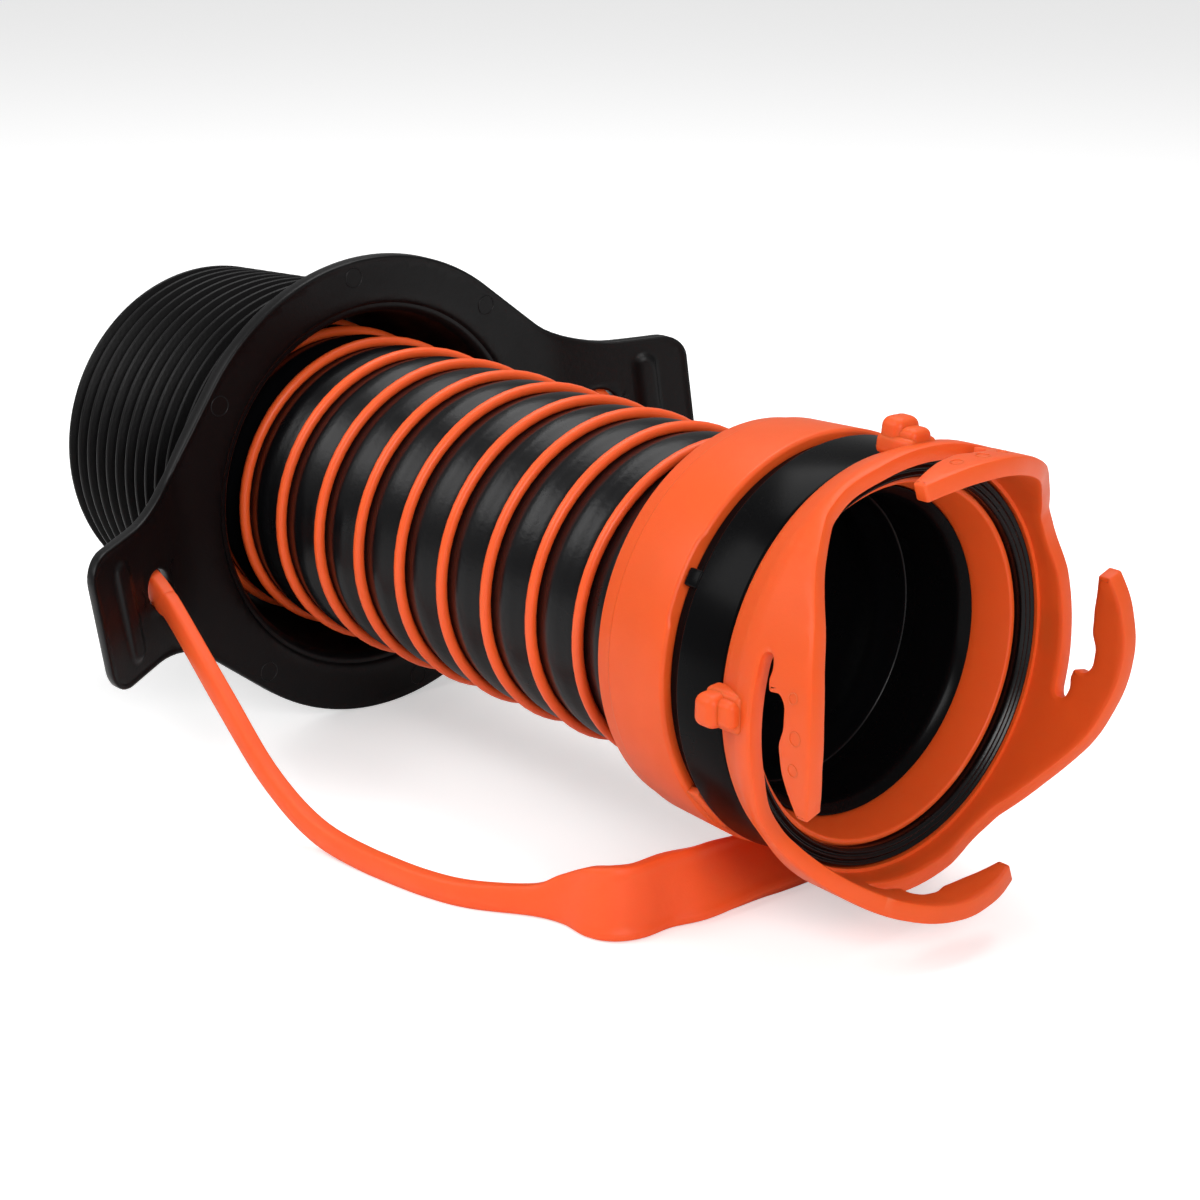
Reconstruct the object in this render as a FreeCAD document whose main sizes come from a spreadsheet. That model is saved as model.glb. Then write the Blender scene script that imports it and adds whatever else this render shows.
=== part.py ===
import FreeCAD, Part
import math
import os
import Sketcher

# Sewer hose kit in millimetres.
# The hose runs along X. The origin is the centre of the coupler's mouth, on the face
# gasket, and +X points out of the mouth towards the valve. Z is up.

V = FreeCAD.Vector
doc = FreeCAD.newDocument("SewerHoseKit")
sheet = doc.addObject("Spreadsheet::Sheet", "Dim")

# Driving dimensions

SIZES = (
    # Hose
    ("hose_bore", 38.1, "radius of the hose's bore"),
    ("hose_wall", 3.1, "thickness of the hose's wall"),
    ("bead_radius", 1.7, "radius of the bead that winds round the wall"),
    ("bead_sink", 0.3, "depth of the bead's seat in the wall"),
    ("bead_pitch", 18.3, "advance of the bead in one turn"),
    ("bead_phase", 276, "angle at which the bead starts, in degrees"),
    ("bead_end_gap", 3.5, "wall left bare at each end of the bead"),
    ("wire_radius", 0.9, "radius of the steel wire in the bead"),
    # Bayonet ring, from its sleeve outwards
    ("throat_step", 3.7, "sleeve's bore outside the hose's bore, as a radius"),
    ("sleeve_wall", 3.6, "thickness of the sleeve"),
    ("funnel_flare", 2.6, "opening of the sleeve's funnel at its rim"),
    ("gasket_width", 5.6, "width of the face gasket's seat"),
    ("socket_step", 0.8, "socket's wall outside the gasket's seat"),
    ("flare_rise", 4.2, "ring's flare above its rear edge"),
    ("hook_rise", 0.8, "hooks' tips above the flare"),
    ("ring_rear", 6.8, "ring's rear face behind the mouth"),
    ("flare_front", 3.0, "end of the ring's flare ahead of the mouth"),
    ("hook_reach", 27.2, "hook tips ahead of the mouth"),
    ("gasket_depth", 4.0, "depth of the face gasket's seat"),
    ("ridge_depth", 0.9, "depth of the face gasket's ridges"),
    ("sleeve_rim", 3.0, "sleeve's front rim behind the mouth"),
    ("funnel_depth", 12.8, "end of the funnel behind the mouth"),
    ("sleeve_length", 15.0, "sleeve behind the ring's rear face"),
    ("hook_count", 4, "hooks, slots and finger tabs"),
    ("tab_angle", 88, "angle of a finger tab, in degrees"),
    ("tab_rise", 9.2, "finger tab above the ring's rear edge"),
    ("tab_half", 4.3, "half width of a finger tab at its root"),
    ("tab_taper", 1.6, "how much narrower each side is at the tab's top"),
    ("tab_length", 6.0, "length of a finger tab along the hose"),
    ("toe_drop", 2.0, "front part of a tab below its rear part"),
    ("toe_length", 4.6, "length of the tab's front part"),
    # Fits between the ring and the adapter
    ("ring_gap", 0.6, "gap between the ring and the adapter"),
    ("turn_gap", 0.4, "radial gap round a turning piece"),
    ("oring_radius", 1.1, "cross-section radius of the swivel seal"),
    ("oring_place", 5.4, "swivel seal behind the ring's rear face"),
    ("snap_radius", 0.85, "cross-section radius of the snap ring"),
    ("snap_place", 12.4, "snap ring behind the ring's rear face"),
    ("snap_open", 30, "opening of the snap ring, in degrees"),
    ("groove_gap", 0.15, "gap round a ring in its groove"),
    # Adapter
    ("bore_step", 0.4, "adapter's bore outside the hose's bore, as a radius"),
    ("barrel_wall", 5.0, "thickness of the barrel at the ring"),
    ("barrel_length", 14.2, "adapter's barrel behind the ring"),
    ("barrel_rise", 2.1, "rear of the barrel above the recess"),
    ("recess_width", 4.1, "recess between the barrel and the collar"),
    ("recess_rise", 1.8, "recess above the skirt"),
    ("skirt_wall", 3.7, "thickness of the skirt under the collar"),
    ("skirt_gap", 0.5, "gap between the bead and the skirt"),
    ("skirt_depth", 19.0, "depth of the hose's seat in the skirt"),
    ("lip_depth", 13.1, "adapter's inner lip behind the mouth"),
    ("lip_chamfer", 2.4, "bevel of the inner lip"),
    ("pocket_floor", 0.7, "space behind the ring's sleeve"),
    ("hose_gasket", 2.8, "thickness of the gasket at the hose's end"),
    ("seat_gap", 0.1, "gap between stacked pieces"),
    ("root_depth", 1.0, "how deep a block is rooted in its ring"),
    ("lug_width", 4.5, "width of a stop lug in the recess"),
    ("lug_rise", 2.0, "height of a stop lug"),
    ("lug_angle", 150, "angle of a stop lug, in degrees"),
    ("key_width", 7.0, "width of a key on the skirt"),
    ("key_rise", 1.5, "height of a key on the skirt"),
    ("key_length", 4.0, "length of a key along the hose"),
    ("key_place", 12.0, "key's middle behind the collar's front face"),
    ("key_angle", 90, "angle of a key, in degrees"),
    # Locking collar
    ("collar_gap", 0.2, "gap between the adapter's recess and the collar"),
    ("collar_length", 25.5, "length of the collar"),
    ("collar_wall", 4.0, "thickness of the collar at its front"),
    ("collar_taper", 1.0, "drop of the collar from its front to its bevel"),
    ("collar_bevel", 5.5, "length of the bevel at the collar's rear"),
    ("collar_bevel_drop", 1.1, "drop of the bevel at the collar's rear"),
    ("collar_edge", 0.8, "bevel of the collar's front edge"),
    ("collar_lip", 2.1, "thickness of the collar's rear lip"),
    ("lip_gap", 0.4, "gap between the collar's rear lip and the bead's seat"),
    ("collar_turn", 55, "turn of the collar from locked to free, in degrees"),
    ("tooth_width", 14.5, "width of a tooth on the collar"),
    ("tooth_length", 3.4, "length of a tooth on the collar"),
    ("tooth_height", 1.9, "thickness of a tooth on the collar"),
    ("tooth_angle", 221, "angle of a tooth on the collar, in degrees"),
    # Seal
    ("hose_shown", 156.4, "hose between the collar and the seal's flange"),
    ("flange_width", 14.1, "flange's edge outside the bell"),
    ("flange_thick", 4.0, "thickness of the flange"),
    ("mouth_step", 0.3, "flange's mouth inside the bell's outer face"),
    ("mouth_round", 2.5, "depth of the flange's rounded mouth"),
    ("bell_length", 90.0, "seal's length from the flange's front"),
    ("bell_taper", 5.8, "drop of the bell from its front to its far end"),
    ("bell_wall", 2.8, "thickness of the bell's wall"),
    ("fin_rise", 3.3, "height of a fin above the bell"),
    ("fin_thick", 1.8, "thickness of a fin"),
    ("fin_first", 10.5, "first fin behind the flange's front"),
    ("fin_last", 2.15, "last fin ahead of the bell's far end"),
    ("fin_count", 14, "fins on the bell"),
    ("grip_gap", 0.6, "gap between the bead and the gripping lips"),
    ("grip_rise", 0.4, "height of a gripping lip at the far end"),
    ("grip_thick", 2.4, "thickness of a gripping lip"),
    ("grip_pitch", 9.0, "distance between gripping lips"),
    ("hose_inset", 2.0, "hose's end inside the seal's far end"),
    # Ears, measured from the flange's edge
    ("ear_tilt", 9.0, "turn of the ears about the hose, in degrees"),
    ("ear_bend", 26.0, "forward bend of the ears, in degrees"),
    ("ear_blend", 4.0, "half length of the bend"),
    ("ear_length", 44.0, "length of an ear"),
    ("ear_half", 20.0, "half height of an ear"),
    ("ear_root", 42.6, "where an ear's outline leaves the flange, in degrees"),
    ("ear_neck", 7.0, "where the ear's outline turns outwards"),
    ("ear_thick", 3.0, "thickness of an ear"),
    ("ear_round", 7.5, "radius of an ear's outer corners"),
    ("ear_sweep", 30.0, "radius where an ear's outline turns outwards"),
    ("ridge_place", 28.5, "finger ridge from the flange's edge"),
    ("ridge_half", 15.0, "half length of a finger ridge"),
    ("ridge_width", 6.5, "width of a finger ridge"),
    ("ridge_rise", 1.2, "height of a finger ridge"),
    ("eye_place", 15.0, "strap's hole from the flange's edge"),
    ("eye_radius", 7.0, "radius of the strap's hole"),
    ("eye_rim", 1.6, "width of the raised rim round the hole"),
    ("eye_rise", 0.6, "height of the raised rim"),
    # Strap handle
    ("strap_thick", 4.6, "thickness of the strap's arms"),
    ("neck_width", 3.6, "width of the strap in the hole"),
    ("neck_thick", 3.4, "thickness of the strap in the hole"),
    ("strap_width", 6.4, "width of the strap beside an ear"),
    ("arm_width", 6.4, "width of the strap on the ground"),
    ("corner_width", 18.6, "width of the grip at its corners"),
    ("corner_lean", 8, "lean of the grip at its corners, in degrees"),
    ("grip_width", 17.4, "width of the grip under the coupler"),
    ("grip_lean", 53, "lean of the grip under the coupler, in degrees"),
    ("grip_thickness", 4.5, "thickness of the grip"),
    ("grip_front", 37.2, "grip's middle behind the mouth"),
    ("neck_lift", 1.9, "strap above the middle of the hole"),
    ("neck_dip", 30, "slope of the strap at the ears, in degrees"),
    ("neck_lead", 7.0, "where the strap starts to widen ahead of the hole"),
    ("shoulder_lead", 11.0, "where the strap has its full width ahead of the hole"),
    ("button_radius", 2.8, "radius of the cross bar behind an ear"),
    ("button_half", 8.7, "half length of the cross bar"),
    ("button_back", 8.0, "cross bar behind the hole's middle"),
)
for row, (alias, size, meaning) in enumerate(SIZES, start=1):
    sheet.set("A%d" % row, meaning)
    sheet.set("B%d" % row, str(size))
    sheet.setAlias("B%d" % row, alias)
doc.recompute()


def val(expression):
    """Number that an expression of the sheet's cells gives."""
    result = sheet.evalExpression(expression)
    return float(getattr(result, "Value", result))


# Stations along the hose, as expressions of the sheet's cells

RING_REAR = "(-Dim.ring_rear)"
BARREL_FRONT = "(%s - Dim.ring_gap)" % RING_REAR
BARREL_REAR = "(%s - Dim.barrel_length)" % BARREL_FRONT
RECESS_REAR = "(%s - Dim.recess_width)" % BARREL_REAR
COLLAR_FRONT = "(%s - Dim.collar_gap)" % RECESS_REAR
COLLAR_REAR = "(%s - Dim.collar_length)" % COLLAR_FRONT
COLLAR_LIP = "(%s + Dim.collar_lip)" % COLLAR_REAR
SKIRT_END = "(%s + 3 * Dim.seat_gap)" % COLLAR_LIP
SHOULDER = "(%s + Dim.skirt_depth)" % SKIRT_END
HOSE_FRONT = "(%s - Dim.hose_gasket - 2 * Dim.seat_gap)" % SHOULDER
SLEEVE_END = "(%s - Dim.sleeve_length)" % RING_REAR
POCKET_END = "(%s - Dim.pocket_floor)" % SLEEVE_END
ORING_PLACE = "(%s - Dim.oring_place)" % RING_REAR
SNAP_PLACE = "(%s - Dim.snap_place)" % RING_REAR
FLANGE_FRONT = "(%s - Dim.hose_shown)" % COLLAR_REAR
FLANGE_REAR = "(%s - Dim.flange_thick)" % FLANGE_FRONT
BELL_END = "(%s - Dim.bell_length)" % FLANGE_FRONT
FIN_PITCH = "((Dim.bell_length - Dim.fin_first - Dim.fin_last) / (Dim.fin_count - 1))"
HOSE_END = "(%s + Dim.hose_inset)" % BELL_END

# Radii, built outwards from the hose's bore

HOSE_RADIUS = "(Dim.hose_bore + Dim.hose_wall)"
BEAD_CENTRE = "(%s + Dim.bead_radius - Dim.bead_sink)" % HOSE_RADIUS
BEAD_TOP = "(%s + Dim.bead_radius)" % BEAD_CENTRE
THROAT = "(Dim.hose_bore + Dim.throat_step)"
LIP_RADIUS = "(%s - 0.75 * Dim.turn_gap)" % THROAT
SLEEVE = "(%s + Dim.sleeve_wall)" % THROAT
SNAP_CENTRE = "(%s + Dim.turn_gap / 2)" % SLEEVE
POCKET_RADIUS = "(%s + Dim.turn_gap)" % SLEEVE
GASKET_SEAT = "(%s + Dim.gasket_width)" % SLEEVE
SOCKET = "(%s + Dim.socket_step)" % GASKET_SEAT
FLARE = "(%s + Dim.flare_rise)" % SOCKET
HOOK = "(%s + Dim.hook_rise)" % FLARE
ADAPTER_BORE = "(Dim.hose_bore + Dim.bore_step)"
SKIRT_BORE = "(%s + Dim.skirt_gap)" % BEAD_TOP
SKIRT = "(%s + Dim.skirt_wall)" % SKIRT_BORE
RECESS = "(%s + Dim.recess_rise)" % SKIRT
BARREL = "(%s + Dim.barrel_rise)" % RECESS
BARREL_NOSE = "(%s + Dim.barrel_wall)" % POCKET_RADIUS
COLLAR_BORE = "(%s + Dim.turn_gap)" % SKIRT
COLLAR = "(%s + Dim.collar_wall)" % COLLAR_BORE
COLLAR_SMALL = "(%s - Dim.collar_taper)" % COLLAR
GRIP_BORE = "(%s + Dim.grip_gap)" % BEAD_TOP
BELL_REAR = "(%s + Dim.grip_rise + Dim.bell_wall)" % GRIP_BORE
BELL_FRONT = "(%s + Dim.bell_taper)" % BELL_REAR
FLANGE = "(%s + Dim.flange_width)" % BELL_FRONT


def make_body(name):
    """Body of one piece, with its origin planes by role."""
    body = doc.addObject("PartDesign::Body", name)
    body.Label = name
    body.Placement = FreeCAD.Placement()
    planes = {}
    for feature in body.Origin.OriginFeatures:
        planes[feature.Role] = feature
    return body, planes


def make_sketch(body, plane, name, along="0", turn="0", axis=V(0, 0, 1)):
    """Empty sketch on one of its body's planes, moved along the plane's normal and turned."""
    sketch = body.newObject("Sketcher::SketchObject", name)
    sketch.AttachmentSupport = [(plane, "")]
    sketch.MapMode = "FlatFace"
    sketch.AttachmentOffset = FreeCAD.Placement(V(0, 0, 0), FreeCAD.Rotation(axis, 1))
    sketch.setExpression("AttachmentOffset.Base.z", along)
    sketch.setExpression("AttachmentOffset.Rotation.Angle", turn)
    return sketch


def draw_corners(sketch, corners):
    """Closed outline whose corners are pairs of expressions of the sheet's cells."""
    points = [V(val(across), val(up), 0) for across, up in corners]
    count = len(points)
    for i in range(count):
        line = Part.LineSegment(points[i], points[(i + 1) % count])
        sketch.addGeometry(line, False)
    for i in range(count):
        sketch.addConstraint(Sketcher.Constraint("Coincident", i, 2, (i + 1) % count, 1))
    for i, (across, up) in enumerate(corners):
        for kind, expression, size in (("DistanceX", across, points[i].x), ("DistanceY", up, points[i].y)):
            index = sketch.addConstraint(Sketcher.Constraint(kind, -1, 1, i, 1, size))
            sketch.setExpression("Constraints[%d]" % index, expression)
    return sketch


def draw_circle(sketch, across, up, radius):
    """Circle whose centre and radius are expressions of the sheet's cells."""
    centre = V(val(across), val(up), 0)
    sketch.addGeometry(Part.Circle(centre, V(0, 0, 1), val(radius)), False)
    index = sketch.addConstraint(Sketcher.Constraint("DistanceX", -1, 1, 0, 3, centre.x))
    sketch.setExpression("Constraints[%d]" % index, across)
    index = sketch.addConstraint(Sketcher.Constraint("DistanceY", -1, 1, 0, 3, centre.y))
    sketch.setExpression("Constraints[%d]" % index, up)
    index = sketch.addConstraint(Sketcher.Constraint("Radius", 0, val(radius)))
    sketch.setExpression("Constraints[%d]" % index, radius)
    return sketch


def revolve(body, plane, name, corners):
    """Ring turned about the hose's axis from corners of (station, radius)."""
    sketch = draw_corners(make_sketch(body, plane, name + "_outline"), corners)
    turned = body.newObject("PartDesign::Revolution", name)
    turned.Profile = sketch
    turned.ReferenceAxis = (sketch, ["H_Axis"])
    turned.Angle = 360
    body.Tip = turned
    return turned


def pad(body, sketch, name, length, reverse=False):
    """Pad of a sketch whose length is an expression."""
    block = body.newObject("PartDesign::Pad", name)
    block.Profile = sketch
    block.Type = 0
    block.setExpression("Length", length)
    block.Reversed = reverse
    body.Tip = block
    return block


def pocket(body, sketch, name, length, reverse=False):
    """Pocket of a sketch whose depth is an expression."""
    cut = body.newObject("PartDesign::Pocket", name)
    cut.Profile = sketch
    cut.Type = 0
    cut.setExpression("Length", length)
    cut.Reversed = reverse
    body.Tip = cut
    return cut


def repeat_round(body, planes, name, features, count):
    """Copies of features spaced evenly about the hose's axis."""
    pattern = body.newObject("PartDesign::PolarPattern", name)
    pattern.Originals = features
    pattern.Axis = (planes["X_Axis"], [""])
    pattern.Angle = 360
    pattern.setExpression("Occurrences", count)
    body.Tip = pattern
    return pattern


def box_corners(inner, outer, half):
    """Corners of a block that stands on a ring, along the sketch's first axis."""
    return [(inner, "-(%s)" % half), (outer, "-(%s)" % half), (outer, half), (inner, half)]


def ring_block(body, planes, name, inner, outer, half, angle, front, length):
    """Block on a ring at an angle, from its front station backwards."""
    sketch = make_sketch(body, planes["YZ_Plane"], name + "_outline", front, angle)
    draw_corners(sketch, box_corners(inner, outer, half))
    return pad(body, sketch, name, length, True)


# Hose wall: a smooth bore under a plain outer skin that carries the bead

body, planes = make_body("hose_wall")
revolve(body, planes["XY_Plane"], "wall", [
    (HOSE_FRONT, "Dim.hose_bore"),
    (HOSE_FRONT, HOSE_RADIUS),
    (HOSE_END, HOSE_RADIUS),
    (HOSE_END, "Dim.hose_bore"),
])


# Bead and wire: one path of arcs, two to a quarter turn, with a straight run at each end

def helix_path(radius, pitch, start, finish, phase, run):
    """Wire of arcs that follow a helix about X from one station back to another."""
    def place(angle):
        return V(start - pitch * angle / (2 * math.pi),
                 radius * math.cos(phase + angle), radius * math.sin(phase + angle))

    def heading(angle):
        turned = phase + angle
        along = V(-pitch / (2 * math.pi), -radius * math.sin(turned), radius * math.cos(turned))
        return along.normalize()

    def arc(begin, corner, end):
        middle = (begin + end) * 0.5
        rise = corner - middle
        half_chord = (end - begin).Length / 2
        bulge = half_chord * math.tan(math.atan2(rise.Length, half_chord) / 2)
        return Part.Arc(begin, middle + rise.normalize() * bulge, end).toShape()

    quarters = int((start - finish) / pitch * 4)
    edges = [Part.LineSegment(place(0) - heading(0) * run, place(0)).toShape()]
    for quarter in range(quarters):
        first = quarter * math.pi / 2
        last = first + math.pi / 2
        p0, p1, t0, t1 = place(first), place(last), heading(first), heading(last)
        across = p1 - p0
        both = t0 + t1
        bend = 2 * (1 - t0.dot(t1))
        reach = (math.sqrt(across.dot(both) ** 2 + bend * across.dot(across)) - across.dot(both)) / bend
        corner0 = p0 + t0 * reach
        corner1 = p1 - t1 * reach
        joint = (corner0 + corner1) * 0.5
        edges.append(arc(p0, corner0, joint))
        edges.append(arc(joint, corner1, p1))
    last = quarters * math.pi / 2
    edges.append(Part.LineSegment(place(last), place(last) + heading(last) * run).toShape())
    return Part.Wire(edges), quarters


def tube_along(path, radius):
    """Round solid tube along a path of tangent arcs."""
    begin = path.Edges[0].Vertexes[0].Point
    ahead = path.Edges[0].tangentAt(path.Edges[0].FirstParameter)
    circle = Part.Wire([Part.Circle(begin, ahead, radius).toShape()])
    return path.makePipeShell([circle], True, False)


bead_start = val(HOSE_FRONT) - val("Dim.bead_end_gap")
bead_finish = val(HOSE_END) + val("Dim.bead_end_gap")
bead_run = 2 * val("Dim.bead_radius")
bead_phase = math.radians(val("Dim.bead_phase"))
bead_path, bead_quarters = helix_path(
    val(BEAD_CENTRE), val("Dim.bead_pitch"), bead_start, bead_finish, bead_phase, bead_run)
for name, radius in (("hose_bead", "Dim.bead_radius"), ("hose_wire", "Dim.wire_radius")):
    tube = doc.addObject("Part::Feature", name)
    tube.Label = name
    tube.Shape = tube_along(bead_path, val(radius))
    tube.Placement = FreeCAD.Placement()
path_points = bead_path.discretize(Number=bead_quarters * 12)
turn_points = 4 * 12
least = min((path_points[i] - path_points[j]).Length
            for i in range(0, len(path_points), 4)
            for j in range(i + turn_points // 2, min(i + 3 * turn_points // 2, len(path_points))))
bead_gap = least - 2 * val("Dim.bead_radius")
print("bead turns %.2f, least gap to itself %.2f mm" % (bead_quarters / 4, bead_gap))


# Adapter: barrel, recess and skirt round one bore, with a pocket for the ring's sleeve

body, planes = make_body("adapter_body")
SNAP_OUT = "(%s + Dim.snap_radius + Dim.groove_gap)" % SNAP_CENTRE
SNAP_FRONT = "(%s + Dim.snap_radius + Dim.groove_gap)" % SNAP_PLACE
SNAP_REAR = "(%s - Dim.snap_radius - Dim.groove_gap)" % SNAP_PLACE
revolve(body, planes["XY_Plane"], "barrel", [
    ("-Dim.lip_depth - Dim.lip_chamfer", ADAPTER_BORE),
    ("-Dim.lip_depth", LIP_RADIUS),
    (POCKET_END, LIP_RADIUS),
    (POCKET_END, POCKET_RADIUS),
    (SNAP_REAR, POCKET_RADIUS),
    (SNAP_REAR, SNAP_OUT),
    (SNAP_FRONT, SNAP_OUT),
    (SNAP_FRONT, POCKET_RADIUS),
    (BARREL_FRONT, POCKET_RADIUS),
    (BARREL_FRONT, BARREL_NOSE),
    (BARREL_REAR, BARREL),
    (BARREL_REAR, RECESS),
    (RECESS_REAR, RECESS),
    (RECESS_REAR, SKIRT),
    (SKIRT_END, SKIRT),
    (SKIRT_END, SKIRT_BORE),
    (SHOULDER, SKIRT_BORE),
    (SHOULDER, ADAPTER_BORE),
])
lug = ring_block(body, planes, "lug", "%s - Dim.root_depth" % RECESS, "%s + Dim.lug_rise" % RECESS,
                 "Dim.lug_width / 2", "Dim.lug_angle", BARREL_REAR, "Dim.recess_width")
repeat_round(body, planes, "lugs", [lug], "2")
KEY_FRONT = "(%s - Dim.key_place + Dim.key_length / 2)" % COLLAR_FRONT
key = ring_block(body, planes, "key", "%s - Dim.root_depth" % SKIRT, "%s + Dim.key_rise" % SKIRT,
                 "Dim.key_width / 2", "Dim.key_angle", KEY_FRONT, "Dim.key_length")
repeat_round(body, planes, "keys", [key], "2")


# Gasket between the hose's end and the adapter's shoulder

body, planes = make_body("hose_end_gasket")
GASKET_FRONT = "(%s - Dim.seat_gap)" % SHOULDER
GASKET_REAR = "(%s - Dim.hose_gasket)" % GASKET_FRONT
revolve(body, planes["XY_Plane"], "end_gasket", [
    (GASKET_FRONT, ADAPTER_BORE),
    (GASKET_FRONT, "%s - 2 * Dim.seat_gap" % SKIRT_BORE),
    (GASKET_REAR, "%s - 2 * Dim.seat_gap" % SKIRT_BORE),
    (GASKET_REAR, ADAPTER_BORE),
])


# Locking collar: a band over the skirt with a rear lip, teeth and inner slots

body, planes = make_body("locking_collar")
BEVEL = "(%s + Dim.collar_bevel)" % COLLAR_REAR
revolve(body, planes["XY_Plane"], "band", [
    (COLLAR_FRONT, COLLAR_BORE),
    (COLLAR_FRONT, "%s - Dim.collar_edge" % COLLAR),
    ("%s - Dim.collar_edge" % COLLAR_FRONT, COLLAR),
    (BEVEL, COLLAR_SMALL),
    (COLLAR_REAR, "%s - Dim.collar_bevel_drop" % COLLAR_SMALL),
    (COLLAR_REAR, "%s + Dim.lip_gap" % SKIRT_BORE),
    (COLLAR_LIP, "%s + Dim.lip_gap" % SKIRT_BORE),
    (COLLAR_LIP, COLLAR_BORE),
])
TOOTH_IN = "(%s + Dim.turn_gap)" % RECESS
tooth = ring_block(body, planes, "tooth", TOOTH_IN, "%s + Dim.tooth_height" % TOOTH_IN,
                   "Dim.tooth_width / 2", "Dim.tooth_angle",
                   "%s + Dim.tooth_length" % COLLAR_FRONT, "Dim.tooth_length + Dim.root_depth")
repeat_round(body, planes, "teeth", [tooth], "2")

# Each slot is the path of a key while the collar turns, so it is a ring sector

KEY_HALF = "(asin((Dim.key_width / 2 + Dim.turn_gap) / %s))" % SKIRT
slot_start = "Dim.key_angle * 1 deg - %s" % KEY_HALF
slot_front = "%s + Dim.turn_gap" % KEY_FRONT
slot_rear = "%s - Dim.key_length - Dim.turn_gap" % KEY_FRONT
slot_floor = "%s + Dim.key_rise + Dim.turn_gap" % SKIRT
slot_open = "%s - Dim.root_depth" % SKIRT
slot_sketch = make_sketch(body, planes["XY_Plane"], "slot_outline", "0", slot_start, V(1, 0, 0))
draw_corners(slot_sketch, [
    (slot_front, slot_open),
    (slot_front, slot_floor),
    (slot_rear, slot_floor),
    (slot_rear, slot_open),
])
slot = body.newObject("PartDesign::Groove", "slot")
slot.Profile = slot_sketch
slot.ReferenceAxis = (slot_sketch, ["H_Axis"])
slot.setExpression("Angle", "Dim.collar_turn * 1 deg + 2 * %s" % KEY_HALF)
body.Tip = slot
repeat_round(body, planes, "slots", [slot], "2")


# Bayonet ring: wall, web and sleeve in one turned blank, then the hooks are cut free

body, planes = make_body("bayonet_ring")
ORING_FLOOR = "(%s - 2 * Dim.oring_radius - Dim.groove_gap / 3)" % POCKET_RADIUS
ORING_FRONT = "(%s + Dim.oring_radius + Dim.groove_gap)" % ORING_PLACE
ORING_REAR = "(%s - Dim.oring_radius - Dim.groove_gap)" % ORING_PLACE
SNAP_IN = "(%s - Dim.snap_radius - Dim.groove_gap)" % SNAP_CENTRE
revolve(body, planes["XY_Plane"], "blank", [
    (SLEEVE_END, THROAT),
    (SLEEVE_END, SLEEVE),
    (SNAP_REAR, SLEEVE),
    (SNAP_REAR, SNAP_IN),
    (SNAP_FRONT, SNAP_IN),
    (SNAP_FRONT, SLEEVE),
    (ORING_REAR, SLEEVE),
    (ORING_REAR, ORING_FLOOR),
    (ORING_FRONT, ORING_FLOOR),
    (ORING_FRONT, SLEEVE),
    (RING_REAR, SLEEVE),
    (RING_REAR, SOCKET),
    ("Dim.flare_front", FLARE),
    ("Dim.hook_reach", HOOK),
    ("Dim.hook_reach", SOCKET),
    ("0", SOCKET),
    ("0", GASKET_SEAT),
    ("-Dim.gasket_depth", GASKET_SEAT),
    ("-Dim.gasket_depth", POCKET_RADIUS),
    ("-Dim.sleeve_rim", POCKET_RADIUS),
    ("-Dim.sleeve_rim", "%s + Dim.funnel_flare" % THROAT),
    ("-Dim.funnel_depth", THROAT),
])

# The front of the ring between two hooks, looked at from straight outside the valley.
# Each corner is an angle from the valley's view, in degrees, and a station as a share of
# the hooks' reach.

VIEW = "(%s - Dim.hook_rise - Dim.flare_rise / 2)" % HOOK
valley_profile = (
    (-44.5, 1.100), (-42.0, 0.985), (-33.0, 0.941), (-26.3, 0.853), (-27.3, 0.654), (-28.5, 0.551),
    (-29.3, 0.246), (-19.0, 0.188), (-10.0, 0.235), (3.2, 0.478), (18.2, 0.794), (33.5, 0.960),
    (42.0, 0.993), (44.5, 1.100),
)
slit_profile = (
    (17.5, 0.640), (15.7, 0.629), (-1.0, 0.548), (-3.5, 0.493), (-6.5, 0.463), (-8.5, 0.408),
    (-17.0, 0.397), (-19.0, 0.371), (-19.0, 0.316), (-17.0, 0.287), (-8.0, 0.279), (17.5, 0.246),
)


def outside_view(profile):
    """Corners of a cut seen from outside, from angles and shares of the hooks' reach."""
    corners = []
    for angle, share in profile:
        corners.append(("%g * Dim.hook_reach" % share, "%s * sin(%g)" % (VIEW, angle)))
    return corners


cuts = (("valley", valley_profile, "180 / Dim.hook_count"), ("slit", slit_profile, "0"))
for name, profile, view_angle in cuts:
    cut_sketch = make_sketch(body, planes["XY_Plane"], name + "_outline", "0", view_angle, V(1, 0, 0))
    draw_corners(cut_sketch, outside_view(profile))
    cut = pocket(body, cut_sketch, name, "%s + Dim.tab_rise" % HOOK)
    repeat_round(body, planes, name + "s", [cut], "Dim.hook_count")

# Each finger tab has a high rear part and a lower toe in front of it

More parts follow.
